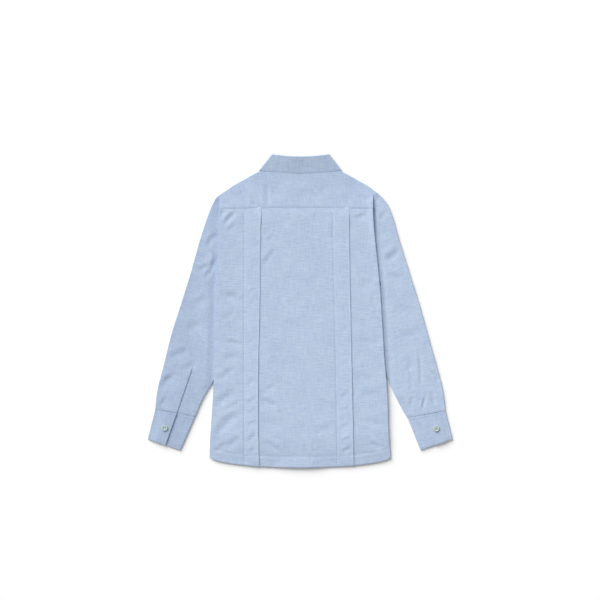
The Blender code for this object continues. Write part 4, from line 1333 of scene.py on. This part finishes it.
SLEEVE_CREASES: dict[Hand, tuple[Crease, ...]] = {
    Hand.LEFT: (
        Crease(-182.0, 58.0, -155.0, 112.0, 5.0, 0.48, -3.0, 0.6),
        Crease(-176.0, 118.0, -158.0, 150.0, 5.0, 0.40, 2.0),
        Crease(-196.0, 74.0, -162.0, 92.0, 5.0, 0.34),
        Crease(-206.0, 8.0, -172.0, 30.0, 8.0, 0.30, -3.0),
        Crease(-222.0, -38.0, -184.0, -26.0, 8.0, 0.28),
        Crease(-250.0, -92.0, -206.0, -76.0, 6.5, 0.34, 3.0),
        Crease(-232.0, -116.0, -196.0, -98.0, 6.0, 0.28, -2.0),
        Crease(-268.0, -156.0, -232.0, -118.0, 6.5, 0.34, 4.0, 0.6),
        Crease(-262.0, -134.0, -244.0, -126.0, 4.0, 0.24),
        Crease(-196.0, -158.0, -208.0, -128.0, 5.0, 0.24),
        Crease(-266.0, -184.0, -252.0, -160.0, 4.0, 0.22),
    ),
    Hand.RIGHT: (
        Crease(158.0, 96.0, 190.0, 116.0, 7.0, 0.55, -3.0),
        Crease(152.0, 170.0, 166.0, 192.0, 4.0, 0.30),
        Crease(160.0, 70.0, 196.0, 60.0, 6.0, 0.26),
        Crease(176.0, 10.0, 214.0, -4.0, 8.0, 0.24, -3.0),
        Crease(190.0, -50.0, 228.0, -40.0, 8.0, 0.24),
        Crease(229.0, -150.0, 224.0, -64.0, 3.5, 0.34, -2.0),
        Crease(214.0, -150.0, 212.0, -84.0, 5.0, 0.22, 3.0),
        Crease(264.0, -140.0, 246.0, -112.0, 4.0, 0.58, -2.0),
        Crease(231.0, -190.0, 239.0, -158.0, 2.6, 0.46),
        Crease(256.0, -182.0, 248.0, -150.0, 4.0, 0.30),
        Crease(208.0, -186.0, 216.0, -160.0, 4.0, 0.22),
    ),
}


@dataclass(frozen=True)
class Sleeve:
    """One long sleeve: its head passes under the armhole's edge, and it is slit above the cuff."""

    body: Body
    plan: SleevePlan
    hand: Hand
    thickness: float = 0.32
    height: float = 2.6
    rings: int = 186
    lag: float = 1.6
    slit_from: float = 0.768
    lap: float = 7.0
    under_body: float = 5.0

    def edges(self) -> tuple[Array, Array]:
        """The outer and the inner edge's table on this side."""
        outer = np.array([point.place(self.hand) for point in self.plan.outer])
        inner = np.array([point.place(self.hand) for point in self.plan.inner])
        return outer, inner

    def top(self, x: Array, y: Array) -> Array:
        """The sleeve's upper face: low beside and under the body, fuller further out, and creased."""
        out = -self.body.edge(x, y)
        free = ramp(y, -128.0, -165.0)
        reach = 45.0 if self.hand is Hand.LEFT else 9.0
        start = 3.5 * ramp(y, 125.0, 165.0) * (self.hand is Hand.RIGHT)
        beside = np.maximum(ramp(out, start, start + reach), free)
        dip = mix(self.body.valley(y, self.hand), self.height, beside) - 1.2 * ramp(out, 0.0, -5.0)
        full = 1.3 * ramp(out, 2.0, 16.0) * ramp(y, -190.0, -120.0) + 0.9 * free
        relief = creased(SLEEVE_CREASES[self.hand], x, y) * np.maximum(ramp(out, 0.0, 8.0), free)
        seam = ramp(y, -188.0, -196.0)
        gathers = 0.22 * pucker(x + 0.3 * y, 12.0, 0.9) * bell(y + 197.0, 12.0)
        return dip + full + relief + gathers - 0.1 * seam

    def tube(self) -> Tube:
        """The sleeve's rings, spread along both edges. The inner edge lags, since it starts lower.

        The slit lies on one straight line: a ring's cut is where its chord crosses that line.
        """
        share = np.linspace(0.0, 1.0, self.rings)
        lagged = share**self.lag
        outer, inner = self.edges()
        opened = ramp(share, self.slit_from, self.slit_from + 0.03)
        out, near = edge_at(outer, share), edge_at(inner, lagged)
        cut = mix(out, near, self.plan.slit)
        run = cut[-1] - cut[int(self.rings * self.slit_from)]
        aside, chord = cut[-1] - out, near - out
        cross = aside[:, 0] * run[1] - aside[:, 1] * run[0]
        straight = cross / (chord[:, 0] * run[1] - chord[:, 1] * run[0])
        return Tube(
            outer=out,
            inner=near,
            outer_normal=edge_normal(outer, share, self.hand),
            inner_normal=-edge_normal(inner, lagged, self.hand),
            slit=np.clip(straight, 0.40, 0.65),
            lap=self.lap * opened,
            raised=opened,
            radius=1.0,
        )

    def grid(self) -> Array:
        """The sleeve's outer face, its first rings drawn on to the armhole and under the body."""
        grid = self.tube().grid(self.top, 0.6)
        share = np.linspace(0.0, 1.0, self.rings)[:, None]
        first = grid[:1]
        upper = ramp(first[..., 2], 0.4, 1.6)
        inside = ramp(first[..., 1], 57.0, 75.0) * ramp(first[..., 1], 222.0, 200.0)
        armhole = self.body.side_x(first[..., 1], self.hand) - self.under_body * inside * upper
        pull = (self.hand.value * armhole - first[..., 0]) * (1.0 - ramp(share, 0.0, 0.09))
        grid[..., 2] = grid[..., 2] - 0.35 * ramp(share, 0.990, 1.0) * ramp(grid[..., 2], 1.5, 2.5)
        grid[..., 0] = grid[..., 0] + pull
        grid[..., 2] = np.maximum(grid[..., 2], CLEARANCE * ramp(share, 0.14, 0.08))
        return grid

    def chart(self, grid: Array) -> Array:
        """The sleeve's UV map: distances across and along its straight grain, and down its edges."""
        outer, _ = self.edges()
        ahead = unit(outer[-2] - outer[2])
        along = grid[..., :2] @ ahead
        across = grid[..., :2] @ np.array([-ahead[1], ahead[0]])
        return np.stack([across + self.hand.value * grid[..., 2], along], axis=2)

    def build(self, cloth: bpy.types.Material, thread: bpy.types.Material) -> list[bpy.types.Object]:
        """Builds the sleeve and the stitching of its slit."""
        node, grid, flip = f"sleeve_{self.hand.word}", self.grid(), self.hand is Hand.LEFT
        piece = cloth_piece(f"{node}_tube", grid, self.thickness, flip=flip, chart=self.chart(grid))
        first = int(self.rings * (self.slit_from + 0.04))
        paths = [grid[first:, -3] + [0.0, 0.0, 0.05]]
        cut = {"flat": (0.235, 0.435), "area": 0.062, "held": "laid", "rests_on": []}
        return sew(piece, node, cloth, paths, thread, **cut)


@dataclass(frozen=True)
class Cuff:
    """One stiffened cuff, lapped and held by its button."""

    plan: SleevePlan
    hand: Hand
    thickness: float = 0.9
    height: float = 3.3
    lap: float = 17.0
    rise: float = 1.7
    rings: int = 34
    stitched: tuple[int, int] = (3, -4)

    def edges(self) -> tuple[Array, Array]:
        """The cuff's two edges, from the sleeve's seam to its end."""
        ends = ((self.plan.outer, self.plan.cuff_outer), (self.plan.inner, self.plan.cuff_inner))
        outer, inner = (np.array([far[-1].place(self.hand), end.place(self.hand)]) for far, end in ends)
        return outer, inner

    def grid(self) -> Array:
        """The cuff's outer face, with both its ends turned in."""
        outer, inner = self.edges()
        share = np.linspace(0.02, 0.98, self.rings - 4)
        share = np.concatenate([[-0.012, -0.006], share, [0.994, 1.0]])
        down, inner_down = unit(outer[1] - outer[0]), unit(inner[1] - inner[0])
        normal = self.hand.value * np.array([-down[1], down[0]])
        inner_normal = -self.hand.value * np.array([-inner_down[1], inner_down[0]])
        ends = mix(outer[0], outer[1], share[:, None]), mix(inner[0], inner[1], share[:, None])
        length = float(np.hypot(*(outer[1] - outer[0])))
        at_seam, at_end = (share[row] * length for row in self.stitched)

        def top(x: Array, y: Array) -> Array:
            """Flat, with a dip at each stitched line and a faint roll between."""
            along = (np.stack([x, y], axis=-1) - outer[0]) @ down
            groove = -0.15 * bell(along - at_seam, 1.1) - 0.18 * bell(along - at_end, 1.1)
            edge = -0.08 * ramp(along, 3.0, 0.0) - 0.12 * ramp(along, length - 2.2, length)
            return self.height + groove + edge + 0.2 * swell(3.0 * x, 3.0 * y)

        tube = Tube(
            outer=ends[0],
            inner=ends[1],
            outer_normal=np.tile(normal, (self.rings, 1)),
            inner_normal=np.tile(inner_normal, (self.rings, 1)),
            slit=np.full(self.rings, self.plan.slit),
            lap=np.full(self.rings, self.lap),
            raised=np.ones(self.rings),
            radius=1.2,
        )
        return tube.grid(top, self.rise)

    def build(self, cloth: bpy.types.Material, thread: bpy.types.Material) -> list[bpy.types.Object]:
        """Builds the cuff and its lines of stitching."""
        node, grid, flip = f"cuff_{self.hand.word}", self.grid(), self.hand is Hand.LEFT
        piece = cloth_piece(f"{node}_band", grid, self.thickness, flip=flip)
        sides = (slice(-Tube.flap_columns, None), slice(Tube.near_columns))
        paths = [grid[row, side] + [0.0, 0.0, 0.04] for side in sides for row in self.stitched]
        paths.append(grid[3:-3, -3] + [0.0, 0.0, 0.04])
        cut = {"flat": (0.168, 0.059), "area": 0.0095, "held": "laid", "rests_on": []}
        return sew(piece, node, cloth, paths, thread, "stiffened_cloth", **cut)


@dataclass(frozen=True)
class Collar:
    """The turned-down fall, folded over the stand, with its two points under the shirt's neck."""

    thickness: float = 0.5
    fold_half: float = 56.4
    edge_half: float = 79.2
    fold_middle: float = 292.4
    fold_side: float = 296.4
    edge_middle: float = 261.4
    edge_side: float = 267.0
    front_gap: float = 3.0
    front_fold: float = 236.0
    point_x: float = 45.0
    point_y: float = 178.0
    fold_height: float = 9.0
    edge_height: float = 4.7
    back_columns: int = 70
    front_columns: int = 34

    def row(self, down: float, inset: float, reach: float) -> Array:
        """One row round the neck, from the left point over the back to the right point.

        Args:
            down: how far down the fall, 0 at the fold and 1 at the free edge.
            inset: how far inside the outer face.
            reach: how far past the fold line.

        Returns:
            The row's points.
        """
        half = mix(self.fold_half, self.edge_half, down)
        radius = mix(self.fold_height, self.edge_height, down) / 2
        straight = half - radius
        x = np.linspace(-straight, straight, self.back_columns)
        bow = (x / straight) ** 2
        fold = mix(self.fold_middle, self.fold_side, bow)
        edge = mix(self.edge_middle, self.edge_side, bow)
        crown = 1.5 * bell(x + 12.0, 20.0) * (1.0 - down)
        crown = crown + 0.5 * bell(x - 34.0, 20.0) * (1.0 - down)
        ripple = 0.10 * pucker(x, 15.0, 1.3) * (1.0 - down)
        height = 2 * radius - inset + crown + ripple
        over = np.column_stack([x, mix(fold, edge, down) + reach, height])
        angle = half_turn(14)[1:-1]
        turn_y = np.full(len(angle), mix(self.fold_side, self.edge_side, down) + reach)
        turn_z = radius + (radius - inset) * np.sin(angle)
        inwards = np.linspace(0.0, 1.0, self.front_columns)
        front_x = mix(straight, mix(self.front_gap, self.point_x, down), inwards)
        front_fold = mix(self.front_fold, self.fold_side, (1.0 - inwards) ** 2)
        front_y = mix(front_fold, mix(self.edge_side, self.point_y, inwards), down) + reach
        parts = []
        for hand in Hand:
            turn_x = hand.value * (straight + (radius - inset) * np.cos(angle))
            turn = np.column_stack([turn_x, turn_y, turn_z])
            front = np.column_stack([hand.value * front_x, front_y, np.full(len(front_x), inset)])
            parts.append(np.concatenate([turn, front]))
        return np.concatenate([parts[0][::-1], over, parts[1]])

    def grid(self) -> Array:
        """The fall's rows from the free edge up, then the fold's half turn into the stand."""
        rows = [self.row(down, 0.0, 0.0) for down in 1.0 - firm(29, RIM)]
        angles = np.radians(np.linspace(0.0, 180.0, 9))[1:]
        rows += [self.row(0.0, 0.8 * (1 - np.cos(angle)), 1.1 * np.sin(angle)) for angle in angles]
        return np.array(rows)

    def build(self, cloth: bpy.types.Material, thread: bpy.types.Material) -> list[bpy.types.Object]:
        """Builds the fall and the line of stitching by its edge."""
        grid = self.grid()
        piece = cloth_piece("collar_fall", grid, self.thickness, origin=(0, grid.shape[1] // 2))
        row, front = grid[4], self.front_columns
        paths = [row[front + 12 : -front - 12] + [0.0, 0.0, 0.04]]
        paths += [part - [0.0, 0.0, 0.02] for part in (row[:front], row[-front:])]
        cut = {"flat": (0.400, 0.060), "area": 0.0150, "held": "folded", "rests_on": ["yoke_panel"]}
        return sew(piece, "collar", cloth, paths, thread, "stiffened_cloth", **cut)


@dataclass(frozen=True)
class Stand:
    """The collar's stand, inside the fall, its ends lapped at the front."""

    body: Body
    collar: Collar
    thickness: float = 0.8
    half: float = 69.3
    lap: float = 12.0
    clear: float = 1.6
    front_top: float = 3.2

    def row(self, up: float) -> Array:
        """One row round the neck, from the neckline at 0 to the fold at 1."""
        body, collar = self.body, self.collar
        high_radius = collar.fold_height / 2 - 2.0
        radius = mix(1.5, high_radius, up)
        half = mix(self.half, collar.fold_half - 2.0, up)
        centre = mix(body.over_collar + 1.5, collar.fold_height / 2, up)
        straight = half - radius
        x = np.linspace(-straight, straight, 50)
        fold = mix(collar.fold_middle, collar.fold_side, (x / straight) ** 2) - self.clear
        y = mix(body.neck_y(x) + 0.3, fold, up)
        side = mix(body.neck_side + 0.6, collar.fold_side - self.clear, up)
        low = side - mix(body.neck_depth, collar.fold_side - collar.front_fold, up)
        over = np.column_stack([x, y, np.full(len(x), centre + radius)])
        angle = half_turn(12)[1:-1]
        round_neck = np.radians(np.linspace(0.0, 90.0, 30))
        front_x = np.append(straight * np.cos(round_neck), [-self.lap / 2, -self.lap])
        front_y = np.append(mix(side, low, np.sin(round_neck)), [low, low])
        parts = []
        for hand in Hand:
            turn_x = hand.value * (straight + radius * np.cos(angle))
            turn_z = centre + radius * np.sin(angle)
            turn = np.column_stack([turn_x, np.full(len(angle), side), turn_z])
            place = hand.value * front_x
            level = np.minimum(body.lift(place, front_y, hand), self.front_top)
            parts.append(np.concatenate([turn, np.column_stack([place, front_y, level])]))
        return np.concatenate([parts[0][::-1], over, parts[1]])

    def build(self, cloth: bpy.types.Material) -> bpy.types.Object:
        """Builds the stand."""
        grid = np.array([self.row(up) for up in np.linspace(0.0, 1.0, 14)])
        piece = cloth_piece("collar_stand_band", grid, self.thickness)
        finish_piece(piece, cloth)
        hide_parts("collar_stand")
        return piece


@dataclass(frozen=True)
class ButtonSewing:
    """The thread through a button's four holes, and the worked buttonhole behind it."""

    pitch: float = 2.6
    thread_radius: float = 0.34
    hole_length: float = 14.0
    hole_width: float = 1.1

    def bars(self, centre: Array, up: float) -> list[Array]:
        """Two bars of thread over the button's face, each an arch between two holes.

        Args:
            centre: the middle of the button's outer face.
            up: 1 if the button faces up, -1 if it faces down.

        Returns:
            Each bar's points, as a grid of rings.
        """
        bars = []
        share = np.linspace(-1.0, 1.0, 13)[:, None]
        angle = np.linspace(0.0, 2 * np.pi, 8, endpoint=False)
        x = centre[0] + share * (self.pitch / 2 + 0.1)
        arch = centre[2] + up * (-1.1 + 1.25 * np.sqrt(np.clip(1.0 - share**4, 0.0, 1.0)))
        z = arch + self.thread_radius * np.sin(angle)
        for side in (-1, 1):
            y = centre[1] + side * self.pitch / 2 + 1.5 * self.thread_radius * np.cos(angle)
            bars.append(np.stack(np.broadcast_arrays(x, y, z), axis=2))
        return bars

    def hole(self, centre: Array, heading: float, up: float) -> Array:
        """The worked edge of a buttonhole: a flat ring round a stadium, as a grid of rings.

        Args:
            centre: the hole's middle on the cloth's face.
            heading: which way the hole runs, in radians from +X.
            up: 1 on an upper face, -1 on a lower one.

        Returns:
            Rings round the stadium by points round the thread's section.
        """
        turn = np.linspace(0.0, 2 * np.pi, 48, endpoint=False)
        half = self.hole_length / 2 - self.hole_width
        along = np.cos(turn)
        plan_x = half * np.clip(1.35 * along, -1, 1) + 0.55 * along
        plan = np.column_stack([plan_x, 0.75 * np.sin(turn)])
        section = np.linspace(0.0, 2 * np.pi, 8, endpoint=False)
        out = np.stack([np.cos(turn), np.sin(turn)], axis=1)
        ripple = 1.0 + 0.10 * np.sin(24 * turn)
        reach = 0.5 * self.hole_width * ripple
        ring = plan[:, None] + reach[:, None, None] * np.cos(section)[None, :, None] * out[:, None]
        z = centre[2] + up * (0.05 + 0.22 * np.sin(section))[None].repeat(48, axis=0)
        cos, sin = np.cos(heading), np.sin(heading)
        x = centre[0] + ring[..., 0] * cos - ring[..., 1] * sin
        y = centre[1] + ring[..., 0] * sin + ring[..., 1] * cos
        return np.stack([x, y, z], axis=2)

    def build(
        self, name: str, grids: Sequence[Array], closed: Sequence[bool], material: bpy.types.Material
    ) -> bpy.types.Object:
        """Joins grids of rings into one thread piece, each ring closed, and each grid closed if asked.

        Args:
            name: the piece's name.
            grids: rings by points.
            closed: whether each grid's last ring joins its first.
            material: the thread's material.

        Returns:
            The object, with its normals outwards.
        """
        vertices, faces, offset = [], [], 0
        for grid, joined in zip(grids, closed):
            rings, sides, _ = grid.shape
            index = np.arange(rings * sides).reshape(rings, sides)
            wrapped = np.concatenate([index, index[:1]]) if joined else index
            after = np.roll(wrapped, -1, axis=1)
            quads = np.stack([wrapped[:-1], wrapped[1:], after[1:], after[:-1]], axis=2)
            faces.append(quads.reshape(-1, 4) + offset)
            if not joined:
                caps = np.array([[0, 1, 2, 3], [0, 3, 4, 7], [4, 5, 6, 7]])
                faces.append(caps[:, ::-1] + offset)
                faces.append(caps + offset + index[-1, 0])
            vertices.append(grid.reshape(-1, 3))
            offset += rings * sides
        piece = new_object(name, np.concatenate(vertices), np.concatenate(faces))
        work = bmesh.new()
        work.from_mesh(piece.data)
        bmesh.ops.recalc_face_normals(work, faces=work.faces)
        work.to_mesh(piece.data)
        work.free()
        return finish_piece(piece, material)


@dataclass(frozen=True)
class Buttons:
    """The shirt's nine buttons: the CAD discs in a better finish, sewn on with thread."""

    shell: PlainFinish = PlainFinish((0.42, 0.51, 0.49), (0.50, 0.58, 0.56), 2.4, 0.35, 0.3)

    def dress(
        self, thread: bpy.types.Material, cuff_heading: dict[Hand, float]
    ) -> list[bpy.types.Object]:
        """Gives the CAD buttons their finish, and sews each one on with its buttonhole.

        Args:
            thread: the sewing thread's material.
            cuff_heading: which way each cuff's buttonhole runs.

        Returns:
            The thread pieces.
        """
        sewing = ButtonSewing()
        shell = self.shell.make("button_shell")
        pieces = []
        for name in sorted(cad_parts):
            if "button" not in name:
                continue
            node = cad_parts[name]
            for place in node.material_slots:
                place.material = shell
            low, high = (np.array(corner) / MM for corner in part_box(name))
            centre = (low + high) / 2
            on_cuff = name.startswith("cuff")
            up = 1.0 if on_cuff else -1.0
            face = np.array([centre[0], centre[1], (high if on_cuff else low)[2] - up * 0.4])
            behind = np.array([centre[0], centre[1], (low[2] - 0.25) if on_cuff else (high[2] + 0.22)])
            heading = np.pi / 2
            if on_cuff:
                heading = cuff_heading[Hand.LEFT if name.endswith("left") else Hand.RIGHT]
            elif name == "collar_button":
                heading = 0.0
            grids = sewing.bars(face, up) + [sewing.hole(behind, heading, up)]
            pieces.append(sewing.build(f"{name}_sewing", grids, (False, False, True), thread))
        return pieces


@dataclass(frozen=True)
class Studio:
    """A white floor, a large soft light from the upper left, a dim even fill, and the camera."""

    frame_width: float = 1140.0
    centre: tuple[float, float] = (-0.4, 20.7)
    lens: float = 100.0
    sensor: float = 36.0
    level: float = 4.0
    key_strength: float = 4.15
    key_spread: float = 44.0
    key_from: tuple[float, float, float] = (-0.50, 0.72, 0.466)
    fill: float = 0.44
    floor_level: float = -0.15
    floor_reach: float = 3000.0

    def floor(self) -> bpy.types.Object:
        """A plain white floor, three metres each way."""
        corners = np.array([[-1, -1, 0], [1, -1, 0], [1, 1, 0], [-1, 1, 0]], float) * self.floor_reach
        corners[:, 2] = self.floor_level
        piece = new_object("floor", corners, np.array([[0, 1, 2, 3]]))
        finish = PlainFinish((0.965, 0.965, 0.965), (0.975, 0.975, 0.975), 400.0, 0.9)
        piece.data.materials.append(finish.make("floor_white"))
        return piece

    def lights(self) -> None:
        """An even soft key light from the upper left, and an even pale world."""
        lamp = bpy.data.lights.new("key", "SUN")
        lamp.energy = self.key_strength
        lamp.angle = np.radians(self.key_spread)
        lamp.color = (1.0, 0.99, 0.975)
        key = bpy.data.objects.new("key", lamp)
        bpy.context.scene.collection.objects.link(key)
        key.rotation_euler = (-Vector(self.key_from)).to_track_quat("-Z", "Y").to_euler()
        world = bpy.data.worlds.new("even")
        world.use_nodes = True
        background = world.node_tree.nodes["Background"]
        background.inputs["Color"].default_value = (0.97, 0.985, 1.0, 1.0)
        background.inputs["Strength"].default_value = self.fill
        bpy.context.scene.world = world

    def camera(self) -> None:
        """A camera straight above, as far off as its frame's width needs."""
        data = bpy.data.cameras.new("camera")
        data.lens = self.lens
        data.sensor_width = self.sensor
        camera = bpy.data.objects.new("camera", data)
        bpy.context.scene.collection.objects.link(camera)
        distance = self.frame_width * self.lens / self.sensor
        camera.location = (self.centre[0] * MM, self.centre[1] * MM, (self.level + distance) * MM)
        bpy.context.scene.camera = camera
        bpy.context.scene.view_settings.view_transform = "Standard"


def main() -> None:
    """Builds the shirt piece by piece, then the studio."""
    body, plan = Body(), SleevePlan()
    cloth = Chambray().make("chambray_across", Grain.ACROSS)
    # The left sleeve's copy of the chambray is tinted darker: painted shade, for the weaker light on
    # the shirt's left side.
    cloth_left_shaded = Chambray().make("chambray_left_painted_shade", Grain.ACROSS, 0.90)
    cloth_up = Chambray(streak_share=0.16).make("chambray_along", Grain.ALONG, 0.945)
    stiff_up = Chambray(roughness=0.8).make("chambray_stiff_along", Grain.ALONG, 0.985)
    stiff = Chambray(roughness=0.8).make("chambray_stiff_across", Grain.ACROSS, 0.96)
    # The left cuff's copy of the stiff chambray is tinted darker: painted shade, for the weaker light
    # on the shirt's left side.
    stiff_left_shaded = Chambray(roughness=0.8).make("chambray_stiff_left_painted_shade", Grain.ACROSS, 0.86)
    thread = PlainFinish((0.42, 0.52, 0.70), (0.50, 0.60, 0.76), 0.8, 0.75).make("thread_blue")
    pale_thread = PlainFinish((0.46, 0.53, 0.56), (0.55, 0.61, 0.62), 0.8, 0.7).make("thread_pale")
    made: list[bpy.types.Object] = []
    for hand in Hand:
        made += Front(body, hand).build(cloth, thread)
    made += Yoke(body).build(cloth_up, thread)
    made += Back(body).build(cloth, thread)
    for hand in Hand:
        # The left sleeve takes the darker copy, whose darkening is painted shade.
        made += Sleeve(body, plan, hand).build(cloth_left_shaded if hand is Hand.LEFT else cloth, thread)
    headings = {}
    for hand in Hand:
        cuff = Cuff(plan, hand)
        # The left cuff takes the darker copy, whose darkening is painted shade.
        made += cuff.build(stiff_left_shaded if hand is Hand.LEFT else stiff, thread)
        outer, inner = cuff.edges()
        across = inner.mean(axis=0) - outer.mean(axis=0)
        headings[hand] = float(np.arctan2(across[1], across[0]))
    collar = Collar()
    made += collar.build(stiff_up, thread)
    made.append(Stand(body, collar).build(stiff_up))
    made += Buttons().dress(pale_thread, headings)
    for piece in made:
        log.info("%s: %d vertices", piece.name, len(piece.data.vertices))
    studio = Studio()
    studio.floor()
    studio.lights()
    studio.camera()


if __name__ == "__main__":
    logging.basicConfig(level=logging.INFO, format="%(message)s")
    main()
